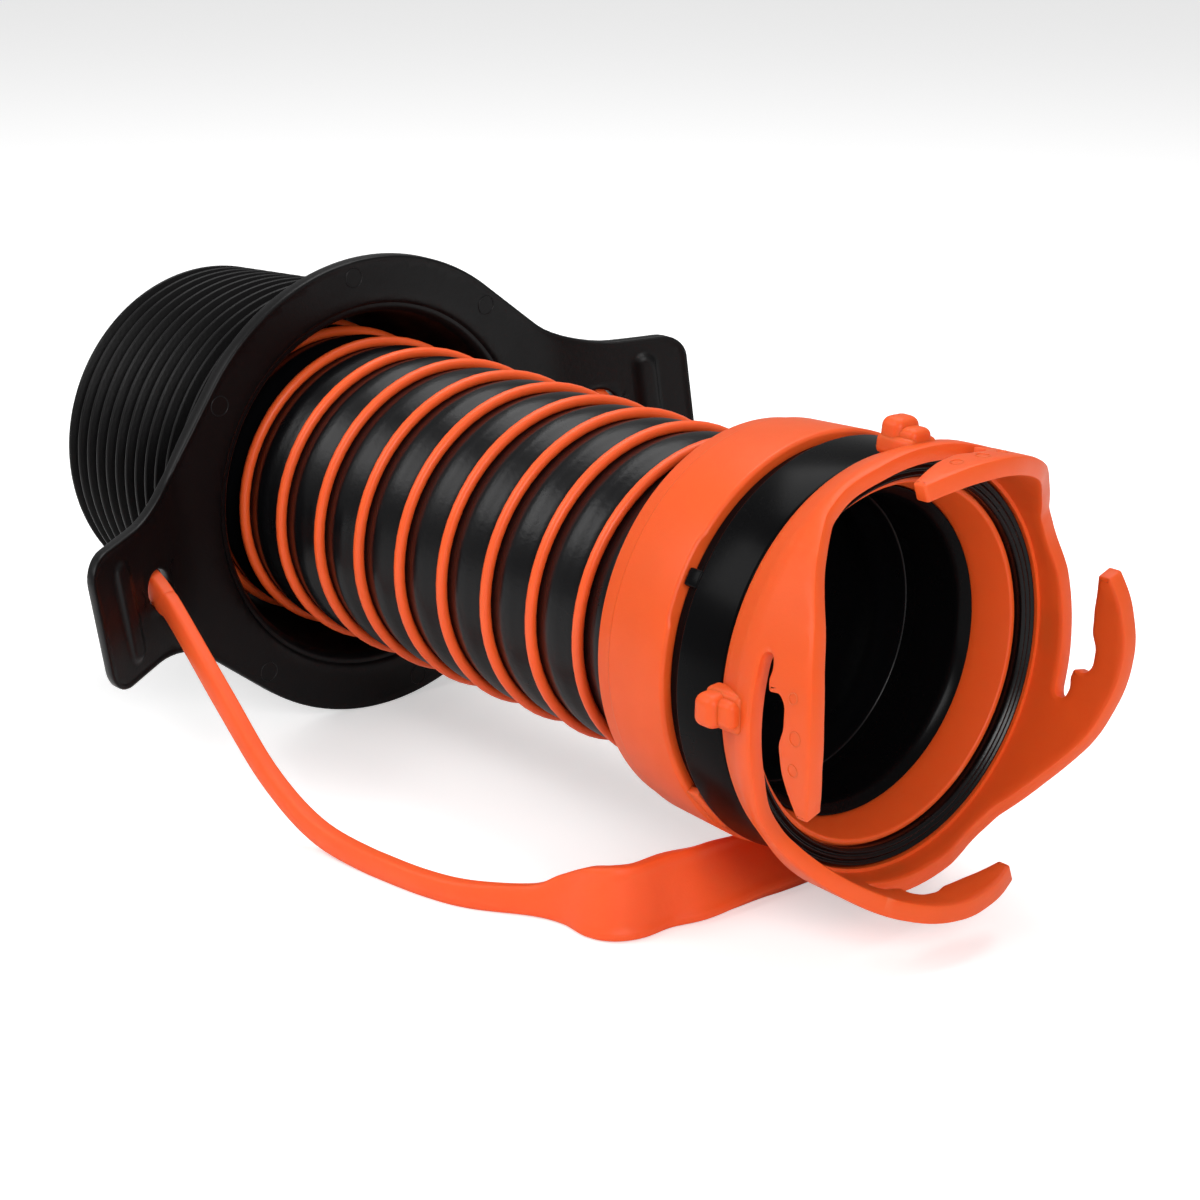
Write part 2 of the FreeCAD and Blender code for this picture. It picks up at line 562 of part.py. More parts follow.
TAB_ROOT = "(%s + Dim.seat_gap)" % SOCKET
TAB_TOP = "(%s + Dim.tab_rise)" % SOCKET
TAB_FRONT = "(%s + Dim.tab_length)" % RING_REAR
tab_parts = []
for name, top, half, front, length in (
    ("tab", TAB_TOP, "Dim.tab_half", TAB_FRONT, "Dim.tab_length"),
    ("toe", "(%s - Dim.toe_drop)" % TAB_TOP, "(Dim.tab_half - Dim.tab_taper)",
     "(%s + Dim.toe_length)" % TAB_FRONT, "Dim.toe_length + Dim.root_depth"),
):
    shoulder = "(%s - 1.5 * Dim.tab_taper)" % top
    tab_sketch = make_sketch(body, planes["YZ_Plane"], name + "_outline", front, "Dim.tab_angle")
    draw_corners(tab_sketch, [
        (TAB_ROOT, "-%s" % half),
        (shoulder, "-%s + Dim.tab_taper / 4" % half),
        (top, "-%s + Dim.tab_taper" % half),
        (top, "%s - Dim.tab_taper" % half),
        (shoulder, "%s - Dim.tab_taper / 4" % half),
        (TAB_ROOT, half),
    ])
    tab_parts.append(pad(body, tab_sketch, name, length, True))
repeat_round(body, planes, "tabs", tab_parts, "Dim.hook_count")


# Face gasket: a ridged ring in its seat, a little behind the mouth

body, planes = make_body("face_gasket")
RUBBER_IN = "(%s + 3 * Dim.seat_gap)" % POCKET_RADIUS
RUBBER_OUT = "(%s - 2 * Dim.seat_gap)" % GASKET_SEAT
RUBBER_REAR = "(-Dim.gasket_depth + Dim.seat_gap)"
RIDGE_TOP = "(-2 * Dim.seat_gap)"
VALLEY = "(%s - Dim.ridge_depth)" % RIDGE_TOP
ridge_steps = 6
ridge_corners = [(RUBBER_REAR, RUBBER_IN), (VALLEY, RUBBER_IN)]
for step in range(1, ridge_steps):
    share = step / ridge_steps
    radius = "%s + %g * (%s - %s)" % (RUBBER_IN, share, RUBBER_OUT, RUBBER_IN)
    ridge_corners.append((RIDGE_TOP if step % 2 else VALLEY, radius))
ridge_corners += [(VALLEY, RUBBER_OUT), (RUBBER_REAR, RUBBER_OUT)]
revolve(body, planes["XY_Plane"], "ridged_ring", ridge_corners)


# Rings in the swivel, as tori about the hose's axis

def ring_torus(name, station, centre, section, sweep):
    """Torus about the hose's axis at a station, swept by an angle."""
    ring = doc.addObject("Part::Torus", name)
    ring.Label = name
    ring.setExpression("Radius1", centre)
    ring.setExpression("Radius2", section)
    ring.setExpression("Angle3", sweep)
    ring.Placement = FreeCAD.Placement(V(0, 0, 0), FreeCAD.Rotation(V(0, 1, 0), 90))
    ring.setExpression("Placement.Base.x", station)
    return ring


ORING_CENTRE = "(%s - Dim.oring_radius - Dim.groove_gap / 6)" % POCKET_RADIUS
ring_torus("swivel_oring", ORING_PLACE, ORING_CENTRE, "Dim.oring_radius", "360")
ring_torus("snap_ring", SNAP_PLACE, SNAP_CENTRE, "Dim.snap_radius", "360 - Dim.snap_open")


# Seal: flange and bell in one turned shape, then fins, ears, ridges and strap holes

body, planes = make_body("seal_body")


def bell_radius(station):
    """Outer radius of the bell at a station."""
    return "(%s - Dim.bell_taper * (%s - (%s)) / (%s - %s))" % (
        BELL_FRONT, FLANGE_REAR, station, FLANGE_REAR, BELL_END)


lip_count = 3
grip_corners = []
for lip in range(lip_count):
    back = "(%s + %d * Dim.grip_pitch)" % (BELL_END, lip)
    front = "(%s + Dim.grip_thick)" % back
    if lip:
        grip_corners.append((back, "%s - Dim.bell_wall" % bell_radius(back)))
    grip_corners.append((back, GRIP_BORE))
    grip_corners.append((front, GRIP_BORE))
    grip_corners.append((front, "%s - Dim.bell_wall" % bell_radius(front)))
revolve(body, planes["XY_Plane"], "bell", grip_corners + [
    ("%s - Dim.mouth_round" % FLANGE_FRONT, "%s - Dim.bell_wall" % BELL_FRONT),
    (FLANGE_FRONT, "%s - Dim.mouth_step" % BELL_FRONT),
    (FLANGE_FRONT, FLANGE),
    (FLANGE_REAR, FLANGE),
    (FLANGE_REAR, BELL_FRONT),
    (BELL_END, BELL_REAR),
])
for fin in range(int(val("Dim.fin_count"))):
    middle = "(%s - Dim.fin_first - %d * %s)" % (FLANGE_FRONT, fin, FIN_PITCH)
    tip = "(%s + Dim.fin_rise)" % bell_radius(middle)
    root = "(%s - Dim.bell_wall / 2)" % bell_radius(middle)
    revolve(body, planes["XY_Plane"], "fin_%d" % (fin + 1), [
        ("%s + Dim.fin_thick / 2" % middle, root),
        ("%s + Dim.fin_thick / 4" % middle, tip),
        ("%s - Dim.fin_thick / 4" % middle, tip),
        ("%s - Dim.fin_thick / 2" % middle, root),
    ])


def ear_frame(side):
    """Placement of an ear's plane: its first axis runs outwards, its normal forwards."""
    spin = FreeCAD.Rotation(V(1, 0, 0), 180 * (side < 0) + val("Dim.ear_tilt"))
    lay = FreeCAD.Rotation(V(0, 1, 0), V(0, 0, 1), V(1, 0, 0), "ZXY")
    bend = FreeCAD.Rotation(V(0, 0, 1), -val("Dim.ear_bend"))
    hinge = V(val(FLANGE_FRONT), 0, 0) + spin.multVec(V(0, val(FLANGE), 0))
    return FreeCAD.Placement(hinge, spin.multiply(bend).multiply(lay))


def rounded(corners, steps=6):
    """Outline with its corners rounded, from (across, up, radius), as pairs of numbers."""
    outline = []
    count = len(corners)
    for i, (across, up, radius) in enumerate(corners):
        here = V(across, up, 0)
        back = V(corners[i - 1][0], corners[i - 1][1], 0) - here
        on = V(corners[(i + 1) % count][0], corners[(i + 1) % count][1], 0) - here
        back.normalize()
        on.normalize()
        half = math.acos(max(-1, min(1, back.dot(on)))) / 2
        if not radius:
            outline.append((across, up))
            continue
        middle = here + (back + on).normalize() * (radius / math.sin(half))
        first = here + back * (radius / math.tan(half)) - middle
        last = here + on * (radius / math.tan(half)) - middle
        turn = math.atan2(first.cross(last).z, first.dot(last))
        for step in range(steps + 1):
            spot = middle + FreeCAD.Rotation(V(0, 0, 1), math.degrees(turn * step / steps)).multVec(first)
            outline.append((spot.x, spot.y))
    return [("%.4f" % across, "%.4f" % up) for across, up in outline]


# Each ear is a bent sheet cut to an outline that leaves the flange's edge and turns outwards

EAR_REACH = "(%s + Dim.ear_length * cos(Dim.ear_bend))" % FLANGE
EAR_NECK = "(%s + Dim.ear_neck)" % FLANGE
ROOT_OUT = "(%s * cos(Dim.ear_root))" % FLANGE
ROOT_UP = "(%s * sin(Dim.ear_root))" % FLANGE
BEND_IN = "(%s - Dim.ear_blend)" % FLANGE
BEND_OUT = "(%s + Dim.ear_blend * cos(Dim.ear_bend))" % FLANGE
BEND_RISE = "(%s + Dim.ear_blend * sin(Dim.ear_bend))" % FLANGE_FRONT
SHEET_END = "(%s + Dim.ear_thick)" % EAR_REACH
SHEET_RISE = "(%s + (%s - %s) * tan(Dim.ear_bend))" % (FLANGE_FRONT, SHEET_END, FLANGE)
SHEET_IN = "(%s + Dim.bell_wall)" % BELL_FRONT
REAR_DROP = "(Dim.ear_thick / cos(Dim.ear_bend))"
HALF_DROP = "(Dim.ear_thick / cos(Dim.ear_bend / 2))"
for side, label in ((-1, "left"), (1, "right")):
    turn = "Dim.ear_tilt + %d" % (180 if side < 0 else 0)
    sheet_sketch = make_sketch(body, planes["XY_Plane"], label + "_sheet_outline", "0", turn, V(1, 0, 0))
    draw_corners(sheet_sketch, [
        (FLANGE_FRONT, SHEET_IN),
        (FLANGE_FRONT, BEND_IN),
        (BEND_RISE, BEND_OUT),
        (SHEET_RISE, SHEET_END),
        ("%s - %s" % (SHEET_RISE, REAR_DROP), SHEET_END),
        ("%s - (%s + %s) / 2" % (BEND_RISE, HALF_DROP, REAR_DROP), BEND_OUT),
        ("%s - (%s + Dim.ear_thick) / 2" % (FLANGE_FRONT, HALF_DROP), BEND_IN),
        ("%s - Dim.ear_thick" % FLANGE_FRONT, SHEET_IN),
    ])
    ear = pad(body, sheet_sketch, label + "_sheet", "2 * %s" % ROOT_UP)
    ear.Midplane = True
    doc.recompute()
    reach, half, neck = val(EAR_REACH), val("Dim.ear_half"), val(EAR_NECK)
    out, up = val(ROOT_OUT), val(ROOT_UP)
    tip_round, sweep = val("Dim.ear_round"), val("Dim.ear_sweep")
    clear_sketch = make_sketch(body, planes["YZ_Plane"], label + "_outline", FLANGE_REAR + " - 1", turn)
    draw_corners(clear_sketch, rounded([
        (out, up, 0), (neck, half, sweep), (reach, half, tip_round),
        (reach, -half, tip_round), (neck, -half, sweep), (out, -up, 0),
        (out, -1.2 * up, 0), (1.2 * reach, -1.2 * up, 0), (1.2 * reach, 1.2 * up, 0), (out, 1.2 * up, 0),
    ]))
    pocket(body, clear_sketch, label + "_clear", "Dim.ear_length", True)
    frame = ear_frame(side)

    def ear_sketch(name, lift):
        """Sketch on an ear's plane, lifted towards the front."""
        sketch = body.newObject("Sketcher::SketchObject", name)
        sketch.AttachmentSupport = [(planes["XY_Plane"], "")]
        sketch.MapMode = "FlatFace"
        sketch.AttachmentOffset = frame.multiply(FreeCAD.Placement(V(0, 0, lift), FreeCAD.Rotation()))
        return sketch

    half_sunk = -val("Dim.ear_thick") / 2
    ridge_sketch = ear_sketch(label + "_ridge_outline", half_sunk)
    draw_corners(ridge_sketch, box_corners("Dim.ridge_place - Dim.ridge_width / 2",
                                           "Dim.ridge_place + Dim.ridge_width / 2", "Dim.ridge_half"))
    pad(body, ridge_sketch, label + "_ridge", "Dim.ear_thick / 2 + Dim.ridge_rise")
    rim_sketch = ear_sketch(label + "_rim_outline", half_sunk)
    draw_circle(rim_sketch, "Dim.eye_place", "0", "Dim.eye_radius + Dim.eye_rim")
    pad(body, rim_sketch, label + "_rim", "Dim.ear_thick / 2 + Dim.eye_rise")
    eye_sketch = ear_sketch(label + "_eye_outline", val("Dim.eye_rise + Dim.root_depth"))
    draw_circle(eye_sketch, "Dim.eye_place", "0", "Dim.eye_radius")
    pocket(body, eye_sketch, label + "_eye", "Dim.ear_thick + Dim.eye_rise + 2 * Dim.root_depth")
doc.recompute()


# Strap handle: a band lofted through sections along its route, and a cross bar at each end

def strap_route():
    """Middle points of the strap with its width, thickness and lean at each."""
    floor = -val(FLANGE)
    low = floor + val("Dim.arm_width") / 2
    front = -val("Dim.grip_front")
    thick, flat = val("Dim.strap_thick"), val("Dim.grip_thickness")
    neck, strap, broad = val("Dim.neck_width"), val("Dim.strap_width"), val("Dim.arm_width")
    slim = val("Dim.neck_thick")
    dip = math.radians(val("Dim.neck_dip"))
    ahead = V(math.cos(dip), 0, -math.sin(dip))
    halves = []
    for side in (-1, 1):
        frame = ear_frame(side)
        eye = V(val("Dim.eye_place"), side * val("Dim.neck_lift"), -val("Dim.ear_thick") / 2)
        hole = frame.multVec(eye)
        reach = front - hole.x
        arm = abs(hole.y)
        points = [
            (hole - ahead * val("Dim.button_back"), neck, slim, 0),
            (hole, neck, slim, 0),
            (hole + ahead * val("Dim.neck_lead"), neck, slim, 0),
            (hole + ahead * val("Dim.shoulder_lead"), strap, thick, 0),
        ]
        # Share of the way forward, share of the way down, way inwards, width, rise
        for share, down, inwards, width, rise in (
            (0.20, 0.48, 0.0, strap + 0.4, 0),
            (0.32, 0.77, 0.0, broad - 0.2, 0),
            (0.44, 0.95, 1.0, broad, 0),
            (0.57, 1.00, 3.0, broad, 0),
            (0.68, 1.00, 5.2, broad + 0.2, 0),
            (0.765, 1.00, 9.4, broad + 1.8, 0),
        ):
            sunk = hole.z + down * (low - hole.z) + max(0, width - broad) / 2 + rise
            place = V(hole.x + share * reach, side * (arm - inwards), sunk)
            points.append((place, width, thick, 0))
        # Way back from the grip's middle, way out, share of the change from corner to middle
        for back, out, share in (
            (24.8, 62.8, -0.33), (16.4, 59.7, -0.06), (7.0, 59.2, 0.0), (1.5, 56.7, 0.0), (-1.2, 51.0, 0.0),
            (-1.2, 42.0, 0.0), (-2.6, 33.0, 0.26), (-1.5, 24.0, 0.58), (0.2, 13.0, 0.92), (0.0, 4.5, 1.0),
        ):
            width = val("Dim.corner_width + %g * (Dim.grip_width - Dim.corner_width)" % max(share, 0))
            width += min(share, 0) * (val("Dim.corner_width") - broad)
            lean = val("Dim.corner_lean + %g * (Dim.grip_lean - Dim.corner_lean)" % max(share, 0))
            place = V(front - back, side * out, floor + width / 2)
            points.append((place, width, flat, lean))
        halves.append((frame, hole, ahead, points))
    return halves


def strap_section(middle, ahead, width, thick, lean):
    """Rectangle across the strap, no lower than the ground; a leaning one stands on it."""
    side = ahead.cross(V(0, 0, 1)).normalize()
    up = side.cross(ahead).normalize()
    turn = FreeCAD.Rotation(ahead, -lean)
    side = turn.multVec(side) * (thick / 2)
    up = turn.multVec(up) * (width / 2)
    ring = [middle - side - up, middle + side - up, middle + side + up, middle - side + up]
    lowest = min(corner.z for corner in ring)
    settle = -val(FLANGE) - lowest
    if lean or settle > 0:
        ring = [corner + V(0, 0, settle) for corner in ring]
    return Part.makePolygon(ring + [ring[0]])


halves = strap_route()
left = halves[0][3]
right = halves[1][3]
stations = left + right[::-1]
curve = Part.BSplineCurve()
curve.interpolate([point for point, width, thick, lean in stations])
knots = [curve.parameter(point) for point, width, thick, lean in stations]
sections = []
for i in range(len(stations) - 1):
    width0, thick0, lean0 = stations[i][1:]
    width1, thick1, lean1 = stations[i + 1][1:]
    for step in range(3 if i < len(stations) - 2 else 4):
        share = step / 3
        place = curve.value(knots[i] + (knots[i + 1] - knots[i]) * share)
        ahead = V(*curve.tangent(knots[i] + (knots[i + 1] - knots[i]) * share)[0])
        sections.append(strap_section(place, ahead, width0 + (width1 - width0) * share,
                                      thick0 + (thick1 - thick0) * share, lean0 + (lean1 - lean0) * share))
band = Part.makeLoft(sections, True, True)
bars = []
for frame, hole, ahead, points in halves:
    outward = frame.Rotation.multVec(V(1, 0, 0))
    middle = hole - ahead * val("Dim.button_back")
    bars.append(Part.makeCylinder(val("Dim.button_radius"), 2 * val("Dim.button_half"),
                                  middle - outward * val("Dim.button_half"), outward))
strap = doc.addObject("Part::Feature", "strap_handle")
strap.Label = "strap_handle"
strap.Shape = band.fuse(bars).removeSplitter()
strap.Placement = FreeCAD.Placement()


# Check every object, then write each piece to its own file

doc.recompute()
for thing in doc.Objects:
    for word in ("Invalid", "Error"):
        if word in thing.State:
            raise RuntimeError("%s is %s" % (thing.Name, thing.State))
pieces = []
for thing in doc.Objects:
    if thing.TypeId in ("PartDesign::Body", "Part::Torus", "Part::Feature"):
        pieces.append(thing)
os.makedirs("parts", exist_ok=True)
for piece in pieces:
    shape = piece.Shape
    if shape.isNull() or not shape.isValid() or len(shape.Solids) != 1:
        raise RuntimeError("%s has a bad shape with %d solids" % (piece.Label, len(shape.Solids)))
for piece in pieces:
    piece.Shape.exportStep("parts/%s.step" % piece.Label)
    box = piece.Shape.BoundBox
    print("%-16s volume %9.1f  x %7.1f %7.1f  y %7.1f %7.1f  z %7.1f %7.1f" % (
        piece.Label, piece.Shape.Volume, box.XMin, box.XMax, box.YMin, box.YMax, box.ZMin, box.ZMax))
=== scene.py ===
import math

import bmesh
import bpy
from mathutils import Matrix, Vector


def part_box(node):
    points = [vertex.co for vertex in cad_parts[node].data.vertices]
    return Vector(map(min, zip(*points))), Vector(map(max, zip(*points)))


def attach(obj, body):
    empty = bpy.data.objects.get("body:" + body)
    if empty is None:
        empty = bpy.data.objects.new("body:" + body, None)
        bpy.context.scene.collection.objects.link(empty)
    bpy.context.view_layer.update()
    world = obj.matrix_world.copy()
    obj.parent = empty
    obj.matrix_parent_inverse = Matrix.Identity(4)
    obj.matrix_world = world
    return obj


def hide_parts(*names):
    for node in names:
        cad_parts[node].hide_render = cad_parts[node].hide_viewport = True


bl_info = {
    "name": "Sewer Hose Kit",
    "version": (1, 0, 0),
    "blender": (4, 5, 0),
    "location": "3D View > Sidebar > Hose Kit",
    "description": "Builds the coupler, hose, seal and strap handle of a sewer hose kit",
    "category": "Add Mesh",
}

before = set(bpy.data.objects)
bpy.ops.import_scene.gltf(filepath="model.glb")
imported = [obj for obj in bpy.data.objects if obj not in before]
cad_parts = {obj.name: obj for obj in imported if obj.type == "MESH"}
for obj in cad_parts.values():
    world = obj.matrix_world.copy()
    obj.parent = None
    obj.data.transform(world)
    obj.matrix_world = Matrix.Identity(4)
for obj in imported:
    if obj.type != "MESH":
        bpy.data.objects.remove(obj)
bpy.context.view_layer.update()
MM = 0.001
QUARTER = math.pi / 2
FULL = 2 * math.pi


# Sizes are in millimetres, and stations run along the hose's axis towards the mouth.
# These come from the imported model.

def node_span(node, axis):
    """Lowest and highest place of a CAD node along an axis, in millimetres."""
    low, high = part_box(node)
    return low[axis] / MM, high[axis] / MM


HOSE_END, HOSE_FRONT = node_span("hose_wall", 0)
SEAL_END = node_span("seal_body", 0)[0]
COLLAR_REAR = node_span("locking_collar", 0)[0]
HOOK_TIP = node_span("bayonet_ring", 0)[1]
FLOOR = node_span("seal_body", 2)[0]


def srgb(red, green, blue):
    """Linear colour from the 0 to 255 levels that a screen shows."""
    levels = []
    for level in (red, green, blue):
        share = level / 255
        levels.append(share / 12.92 if share <= 0.04045 else ((share + 0.055) / 1.055) ** 2.4)
    return tuple(levels)


def length_setting(name, description, default, least=0.0):
    """Length that a user may change, in metres."""
    return bpy.props.FloatProperty(
        name=name, description=description, default=default, unit="LENGTH", min=least)


def colour_setting(name, description, red, green, blue):
    """Colour that a user may change, from the 0 to 255 levels of its default."""
    return bpy.props.FloatVectorProperty(
        name=name, description=description, subtype="COLOR", size=3, min=0, max=1,
        default=srgb(red, green, blue))


class HoseKitSizes(bpy.types.PropertyGroup):
    """Sizes that shape the dressed pieces."""

    bead_pitch: length_setting("Bead Pitch", "Advance of the orange bead in one turn", 0.0183, 0.005)
    bead_radius: length_setting("Bead Radius", "Radius of the orange bead's section", 0.0015, 0.0005)
    bay_swell: length_setting("Bay Swell", "Height of the swelling of the hose between two beads", 0.0014)
    bay_valley: length_setting("Bay Valley", "Depth of the fold behind each bead", 0.0019)
    fin_rise: length_setting("Fin Rise", "Height of a fin above the bell", 0.0033)
    ear_bend: bpy.props.FloatProperty(
        name="Ear Bend", description="Forward bend of the ears", default=math.radians(26), subtype="ANGLE")
    strap_ridge: length_setting("Strap Ridge", "Height of the strap's outer ridge above its edges", 0.0009)


class HoseKitColours(bpy.types.PropertyGroup):
    """Colours of the finishes."""

    fitting: colour_setting("Fitting", "Orange of the ring and the collar", 237, 91, 34)
    strap: colour_setting("Strap", "Orange of the strap handle", 250, 96, 42)
    bead: colour_setting("Bead", "Orange of the hose's bead", 250, 96, 40)
    rubber: colour_setting("Rubber", "Black of the seal", 11, 10, 11)
    vinyl: colour_setting("Vinyl", "Black of the hose's wall", 10, 10, 12)
    barrel: colour_setting("Barrel", "Black of the adapter and the gaskets", 8, 8, 9)


# Shaping: gaps that count as none, and the length past which a run gets more rows

MERGE = 0.002
CLOSE = 0.001
CUT_GAP = 0.0001
LONG_RUN = 10


def everything(bm):
    """All vertices, edges and faces."""
    return list(bm.verts) + list(bm.edges) + list(bm.faces)


def soften(bm, geom, offset, segments, affect="EDGES"):
    """Rounds edges or corners by an amount."""
    bmesh.ops.bevel(bm, geom=geom, offset=offset, offset_type="OFFSET", affect=affect, segments=segments,
                    profile=0.5, material=-1, clamp_overlap=True)


def round_outline(bm, corners, segments):
    """Face from corners of (vertex, rounding), with each corner rounded by its own amount."""
    face = bm.faces.new([vert for vert, rounding in corners])
    before = set(bm.faces) - {face}
    for rounding in sorted({rounding for vert, rounding in corners if rounding}):
        soften(bm, [vert for vert, amount in corners if amount == rounding], rounding, segments, "VERTICES")
    return next(face for face in bm.faces if face not in before)


def turn_outline(bm, profile, steps=192, segments=3, splits=()):
    """Ring turned about the hose's axis from corners of (station, radius, rounding).

    Each split is (lowest radius, cuts) for the long runs that need more rows.
    """
    corners = [(bm.verts.new((x, 0, radius)), rounding) for x, radius, rounding in profile]
    face = round_outline(bm, corners, segments)
    outline = list(face.edges)
    bmesh.ops.delete(bm, geom=[face], context="FACES_ONLY")
    for least, cuts in splits:
        run = [edge for edge in outline if edge.is_valid and edge.calc_length() > LONG_RUN
               and all(vert.co.z >= least for vert in edge.verts)]
        cut = bmesh.ops.subdivide_edges(bm, edges=run, cuts=cuts)
        outline += [part for part in cut["geom_split"] if isinstance(part, bmesh.types.BMEdge)]
    outline = list({edge for edge in outline if edge.is_valid})
    verts = list({vert for edge in outline for vert in edge.verts})
    bmesh.ops.spin(bm, geom=verts + outline, cent=(0, 0, 0), axis=(1, 0, 0), dvec=(0, 0, 0),
                   angle=FULL, steps=steps, use_merge=True)


def rounded_block(bm, size, centre, rounding, segments=3, taper=1.0):
    """Block with rounded edges, narrower at its top, as its new vertices."""
    before = set(bm.verts)
    made = bmesh.ops.create_cube(bm, size=1)["verts"]
    bmesh.ops.scale(bm, vec=size, verts=made)
    for vert in made:
        if vert.co.z > 0:
            vert.co.y *= taper
    soften(bm, list({edge for vert in made for edge in vert.link_edges}), rounding, segments)
    block = [vert for vert in bm.verts if vert not in before]
    bmesh.ops.translate(bm, vec=centre, verts=block)
    return block


def raised_ring(bm, radius, section):
    """Thin raised ring round the vertical axis, as its new vertices."""
    before = set(bm.verts)
    circle = bmesh.ops.create_circle(bm, segments=6, radius=section)["verts"]
    bmesh.ops.rotate(bm, verts=circle, cent=(0, 0, 0), matrix=Matrix.Rotation(QUARTER, 3, "X"))
    bmesh.ops.translate(bm, verts=circle, vec=(radius, 0, 0))
    edges = list({edge for vert in circle for edge in vert.link_edges})
    bmesh.ops.spin(bm, geom=circle + edges, cent=(0, 0, 0), axis=(0, 0, 1), dvec=(0, 0, 0), angle=FULL,
                   steps=28, use_merge=True)
    return [vert for vert in bm.verts if vert not in before]


def turn_about_hose(bm, verts, degrees):
    """Turns vertices that stand at the top of the hose to an angle, seen from the mouth."""
    bmesh.ops.rotate(bm, verts=verts, cent=(0, 0, 0),
                     matrix=Matrix.Rotation(math.radians(degrees - 90), 3, "X"))


def slice_at(bm, place, axis, **cleared):
    """Cuts every face along a plane square to an axis."""
    normal = Vector((0, 0, 0))
    normal[axis] = 1
    bmesh.ops.bisect_plane(bm, geom=everything(bm), dist=CUT_GAP, plane_co=normal * place, plane_no=normal,
                           **cleared)


def cut_rows(bm, places, axis):
    """Cuts every face along planes square to an axis."""
    for place in places:
        slice_at(bm, place, axis)


def trim(bm, place, axis, keep_above):
    """Cuts everything away on one side of a plane square to an axis."""
    slice_at(bm, place, axis, clear_inner=keep_above, clear_outer=not keep_above)


def inset_rim(bm, face, rim):
    """Insets a flat face in steps of (width, rise), and gives how high its middle ends."""
    face.normal_update()
    if face.normal.z < 0:
        face.normal_flip()
    for width, rise in rim:
        bmesh.ops.inset_region(bm, faces=[face], thickness=width, depth=rise, use_boundary=True,
                               use_even_offset=True)
    return sum(rise for width, rise in rim)


def double_sheet(bm, seams):
    """Adds a sheet's other side, open in seam planes of (axis, place), and gives the first one's vertices."""
    under = set(bm.verts)
    bmesh.ops.extrude_face_region(bm, geom=list(bm.faces), use_keep_orig=True)
    walls = [face for face in bm.faces if any(
        all(abs(vert.co[axis] - place) < CLOSE for vert in face.verts) for axis, place in seams)]
    bmesh.ops.delete(bm, geom=walls, context="FACES_ONLY")
    return under


def soft_step(start, end, value):
    """Smooth change from 0 at the start to 1 at the end."""
    share = min(1, max(0, (value - start) / (end - start)))
    return share * share * (3 - 2 * share)


def along_table(table, value):
    """Value read from a table of (place, value), straight between its rows."""
    for (start, low), (end, high) in zip(table, table[1:]):
        if value <= end:
            share = max(0, (value - start) / (end - start))
            return low + (high - low) * share
    return table[-1][1]


def finish_piece(bm, node, body, material, crease=32):
    """Object from a bmesh in millimetres, on its body and in the place of its CAD node."""
    bmesh.ops.remove_doubles(bm, verts=bm.verts, dist=MERGE)
    bmesh.ops.recalc_face_normals(bm, faces=bm.faces)
    limit = math.radians(crease)
    for face in bm.faces:
        face.smooth = True
    for edge in bm.edges:
        edge.smooth = edge.calc_face_angle(0) < limit
    bmesh.ops.scale(bm, vec=(MM, MM, MM), verts=bm.verts)
    name = f"{node}_dressed"
    mesh = bpy.data.meshes.new(name)
    bm.to_mesh(mesh)
    bm.free()
    mesh.materials.append(material)
    piece = bpy.data.objects.new(name, mesh)
    bpy.context.scene.collection.objects.link(piece)
    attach(piece, body)
    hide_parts(node)


# Finishes

def feed(tree, socket, value):
    """Sets a socket to a number, or links another socket to it."""
    if isinstance(value, (int, float)):
        socket.default_value = value
    else:
        tree.links.new(value, socket)


def set_inputs(node, values):
    """Sets a node's sockets by their names."""
    for label, value in values.items():
        node.inputs[label].default_value = value


def add_math(tree, operation, first, second):
    """Math node fed by sockets or numbers, as its output."""
    node = tree.nodes.new("ShaderNodeMath")
    node.operation = operation
    feed(tree, node.inputs[0], first)
    feed(tree, node.inputs[1], second)
    return node.outputs[0]


def add_range(tree, value, low, high, to_low, to_high):
    """Map Range node that stops at its ends, as its output."""
    node = tree.nodes.new("ShaderNodeMapRange")
    for socket, part in zip(node.inputs, (value, low, high, to_low, to_high)):
        feed(tree, socket, part)
    return node.outputs["Result"]


def add_noise(tree, vector, scale, detail, roughness=0.5):
    """Noise texture on a vector, as its Fac output."""
    node = tree.nodes.new("ShaderNodeTexNoise")
    tree.links.new(vector, node.inputs["Vector"])
    set_inputs(node, {"Detail": detail, "Roughness": roughness})
    feed(tree, node.inputs["Scale"], scale)
    return node.outputs["Fac"]


def fill_grain(tree, source, result):
    """Fine grain and broad mottle of a moulded surface."""
    vector, broad_scale = source["Vector"], source["Broad Scale"]
    fine = add_noise(tree, vector, source["Fine Scale"], 3.0, 0.6)
    broad = add_noise(tree, vector, broad_scale, 4.0, 0.55)
    flow = add_noise(tree, vector, add_math(tree, "MULTIPLY", broad_scale, 0.35), 2.0)
    mixed = add_math(tree, "ADD", add_math(tree, "MULTIPLY", broad, 0.6),
                     add_math(tree, "MULTIPLY", flow, 0.4))
    tree.links.new(fine, result["Grain"])
    tree.links.new(add_range(tree, mixed, 0.35, 0.65, 0.0, 1.0), result["Mottle"])


def fill_wear_and_highlight(tree, source, result):
    """Mask of the sharp outer edges, broken up as by rubbing, that lightens them partly as wear and partly as
    a painted highlight.
    """
    geometry = tree.nodes.new("ShaderNodeNewGeometry")
    edge = add_range(tree, geometry.outputs["Pointiness"], source["Sharpness"], 0.66, 0.0, 1.0)
    patch = add_noise(tree, source["Vector"], source["Patch Scale"], 4.0, 0.6)
    broken = add_math(tree, "MULTIPLY", edge, add_range(tree, patch, 0.35, 0.6, 0.35, 1.0))
    tree.links.new(broken, result["Edge"])


